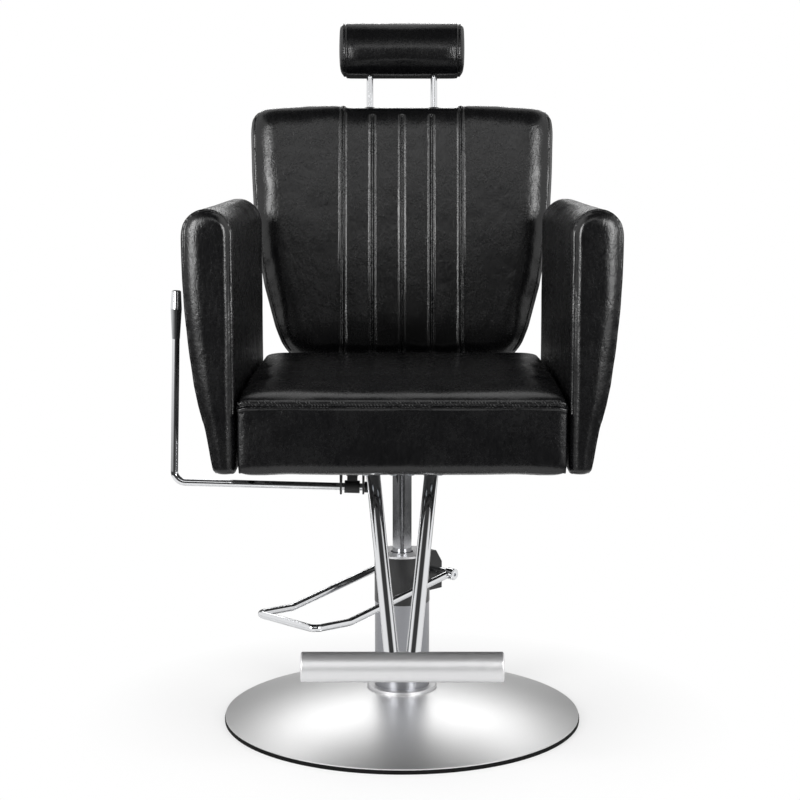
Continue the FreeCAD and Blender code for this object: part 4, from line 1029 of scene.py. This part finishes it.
def make_dust_cover():
    """Black non-woven cloth under the seat, stapled inside the turned edge of the leather."""
    material, tree, place, surface = new_material(
        "nonwoven_polypropylene", Base_Color=hex_colour("#0d0d0e"), Roughness=0.85
    )
    fibres = noise(tree, stretched(tree, place, (420.0, 900.0, 420.0)), 1.0, 4.0, 0.7, 1.5)
    tree.links.new(bump(tree, fibres, 0.3 * mm, 0.6), surface.inputs["Normal"])
    width, length = 0.460, 0.489
    block = bmesh.new()
    bmesh.ops.create_grid(block, x_segments=46, y_segments=48, size=0.5)
    bmesh.ops.scale(block, vec=(width, length, 1.0), verts=block.verts)
    for vert in block.verts:
        gap = min(width / 2 - abs(vert.co.x), length / 2 - abs(vert.co.y)) / mm
        hem = 0.5 * (1.0 - float(soft_step(np.array(gap), 10.0, 16.0)))
        vert.co.z = (468.3 - hem) * mm
        vert.co.x *= narrowed(vert.co.y)
    cover = new_object("seat_dust_cover", block, material)
    thick = cover.modifiers.new("cloth", "SOLIDIFY")
    thick.thickness = 0.4 * mm
    settle(cover)
    shade_round(cover, 60.0)
    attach(cover, "seat")
    staples = []
    inset, pitch, level = 0.007, 0.045, 467.2
    for y in np.arange(-0.225, 0.226, pitch):
        half = (width / 2 - inset) * narrowed(y) / mm
        for side in (-1, 1):
            middle = (side * half, y / mm, level)
            staples.append(bevelled_box((0.9, 10.0, 0.6), middle, 0.2, 1))
    for x in np.arange(-0.18, 0.181, pitch):
        for side in (-1, 1):
            middle = (x / mm, side * (length / 2 - inset) / mm, level)
            staples.append(bevelled_box((10.0, 0.9, 0.6), middle, 0.2, 1))
    wire = new_object("seat_staples", join(staples), slot_finish["zinc_steel"])
    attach(wire, "seat")


make_base_edge()
make_footrest_bracket()
make_gland_ring()
make_pedal_collars()
make_post_sleeves()
make_dust_cover()


# Studio: a pale floor that keeps the shadow, a white backdrop and large soft lamps


def make_studio():
    """A pale round floor that turns to plain white past the chair's shadow, like a sweep."""
    block = bmesh.new()
    bmesh.ops.create_circle(block, cap_ends=True, segments=64, radius=1.4)
    material = bpy.data.materials.new("pale_studio_floor")
    material.use_nodes = True
    tree = material.node_tree
    tree.nodes.clear()
    place = add_node(tree, "ShaderNodeTexCoord").outputs["Object"]
    reach = distance_from_origin(tree, place)
    ray = add_node(tree, "ShaderNodeLightPath").outputs
    seen = maths(tree, "ADD", ray["Is Camera Ray"], ray["Is Transmission Ray"])
    seen = maths(tree, "ADD", seen, ray["Is Glossy Ray"], use_clamp=True)
    # The floor goes white sooner to the camera than in what metal mirrors
    far = levels(tree, reach, 0.29, 0.56, 0.50, 1.0)
    far_mirrored = levels(tree, reach, 0.55, 1.0, 0.0, 1.0)
    kinds = {"Factor": ray["Is Glossy Ray"], "A": far, "B": far_mirrored}
    shown = add_node(tree, "ShaderNodeMix", None, kinds).outputs["Result"]
    share = maths(tree, "MULTIPLY", seen, shown)
    matte = add_node(tree, "ShaderNodeBsdfDiffuse", {"Color": hex_colour("#f7f7f7")})
    white = add_node(tree, "ShaderNodeEmission", {"Strength": 1.0})
    mixed = mix_shaders(tree, share, matte.outputs["BSDF"], white.outputs["Emission"])
    add_node(tree, "ShaderNodeOutputMaterial", links={"Surface": mixed})
    floor = new_object("studio_floor", block, material)


def make_world():
    """White to the camera. Metal mirrors a white backdrop, white side walls and a dim front."""
    world = bpy.data.worlds.new("studio")
    bpy.context.scene.world = world
    world.use_nodes = True
    # Each ray then meets the part of the world that is meant for its kind
    world.cycles.sampling_method = "NONE"
    tree = world.node_tree
    tree.nodes.clear()
    way = add_node(tree, "ShaderNodeTexCoord").outputs["Generated"]
    axes = add_node(tree, "ShaderNodeSeparateXYZ", links={"Vector": way}).outputs
    sideways = maths(tree, "ABSOLUTE", axes["X"])

    def part(value, low, high, start=0.0, end=1.0):
        """A share that changes smoothly with a direction."""
        return levels(tree, value, low, high, start, end, interpolation_type="SMOOTHSTEP")

    upper = part(axes["Z"], 0.42, 0.66, 0.06, 1.0)
    rear = maths(tree, "MULTIPLY", part(axes["Y"], 0.15, 0.5), upper)
    walls = maths(tree, "MULTIPLY", part(sideways, 0.40, 0.70), part(axes["Z"], -0.24, -0.08))
    lit = maths(tree, "MAXIMUM", rear, walls)
    above = part(axes["Z"], -0.30, -0.05)
    glow = levels(tree, maths(tree, "MULTIPLY", lit, above), 0.0, 1.0, 0.05, 1.0)
    ray = add_node(tree, "ShaderNodeLightPath").outputs
    seen = maths(tree, "ADD", ray["Is Camera Ray"], ray["Is Transmission Ray"], use_clamp=True)
    white = {"Color": hex_colour("#ffffff")}
    kind = "ShaderNodeBackground"
    plain = add_node(tree, kind, {**white, "Strength": 1.0}).outputs["Background"]
    mirrored = add_node(tree, kind, white, {"Strength": glow}).outputs["Background"]
    fill = add_node(tree, kind, {**white, "Strength": 0.5}).outputs["Background"]
    unseen = mix_shaders(tree, ray["Is Glossy Ray"], fill, mirrored)
    mixed = mix_shaders(tree, seen, unseen, plain)
    add_node(tree, "ShaderNodeOutputWorld", links={"Surface": mixed})


def softbox(name, place, target, width, height, power):
    """A rectangular lamp that the camera doesn't see, turned to its target."""
    lamp = bpy.data.lights.new(name, "AREA")
    lamp.shape = "RECTANGLE"
    lamp.size = width
    lamp.size_y = height
    lamp.energy = power
    obj = bpy.data.objects.new(name, lamp)
    obj.location = place
    way = Vector(target) - Vector(place)
    obj.rotation_euler = way.to_track_quat("-Z", "Y").to_euler()
    obj.visible_camera = False
    bpy.context.scene.collection.objects.link(obj)


make_studio()
make_world()
softbox("softbox_left", (-1.82, -2.32, 1.35), (0.0, 0.0, 0.85), 0.8, 1.6, 62.0)
softbox("softbox_right", (1.82, -2.32, 1.35), (0.0, 0.0, 0.85), 0.8, 1.6, 54.0)
softbox("softbox_front", (0.0, -2.7, 2.40), (0.0, 0.0, 0.85), 1.6, 0.7, 6.4)
softbox("softbox_rear", (0.0, 2.6, 1.85), (0.0, 0.0, 0.1), 2.0, 0.5, 15.0)

camera_lens = bpy.data.cameras.new("camera")
camera_lens.lens = 84.51
camera_lens.sensor_width = 36.0
camera = bpy.data.objects.new("camera", camera_lens)
camera.location = (-0.0035, -3.1, 0.9815)
camera.rotation_euler = (math.radians(90.0 - 8.033), 0.0, 0.0)
bpy.context.scene.collection.objects.link(camera)
bpy.context.scene.camera = camera
bpy.context.scene.view_settings.view_transform = "Standard"
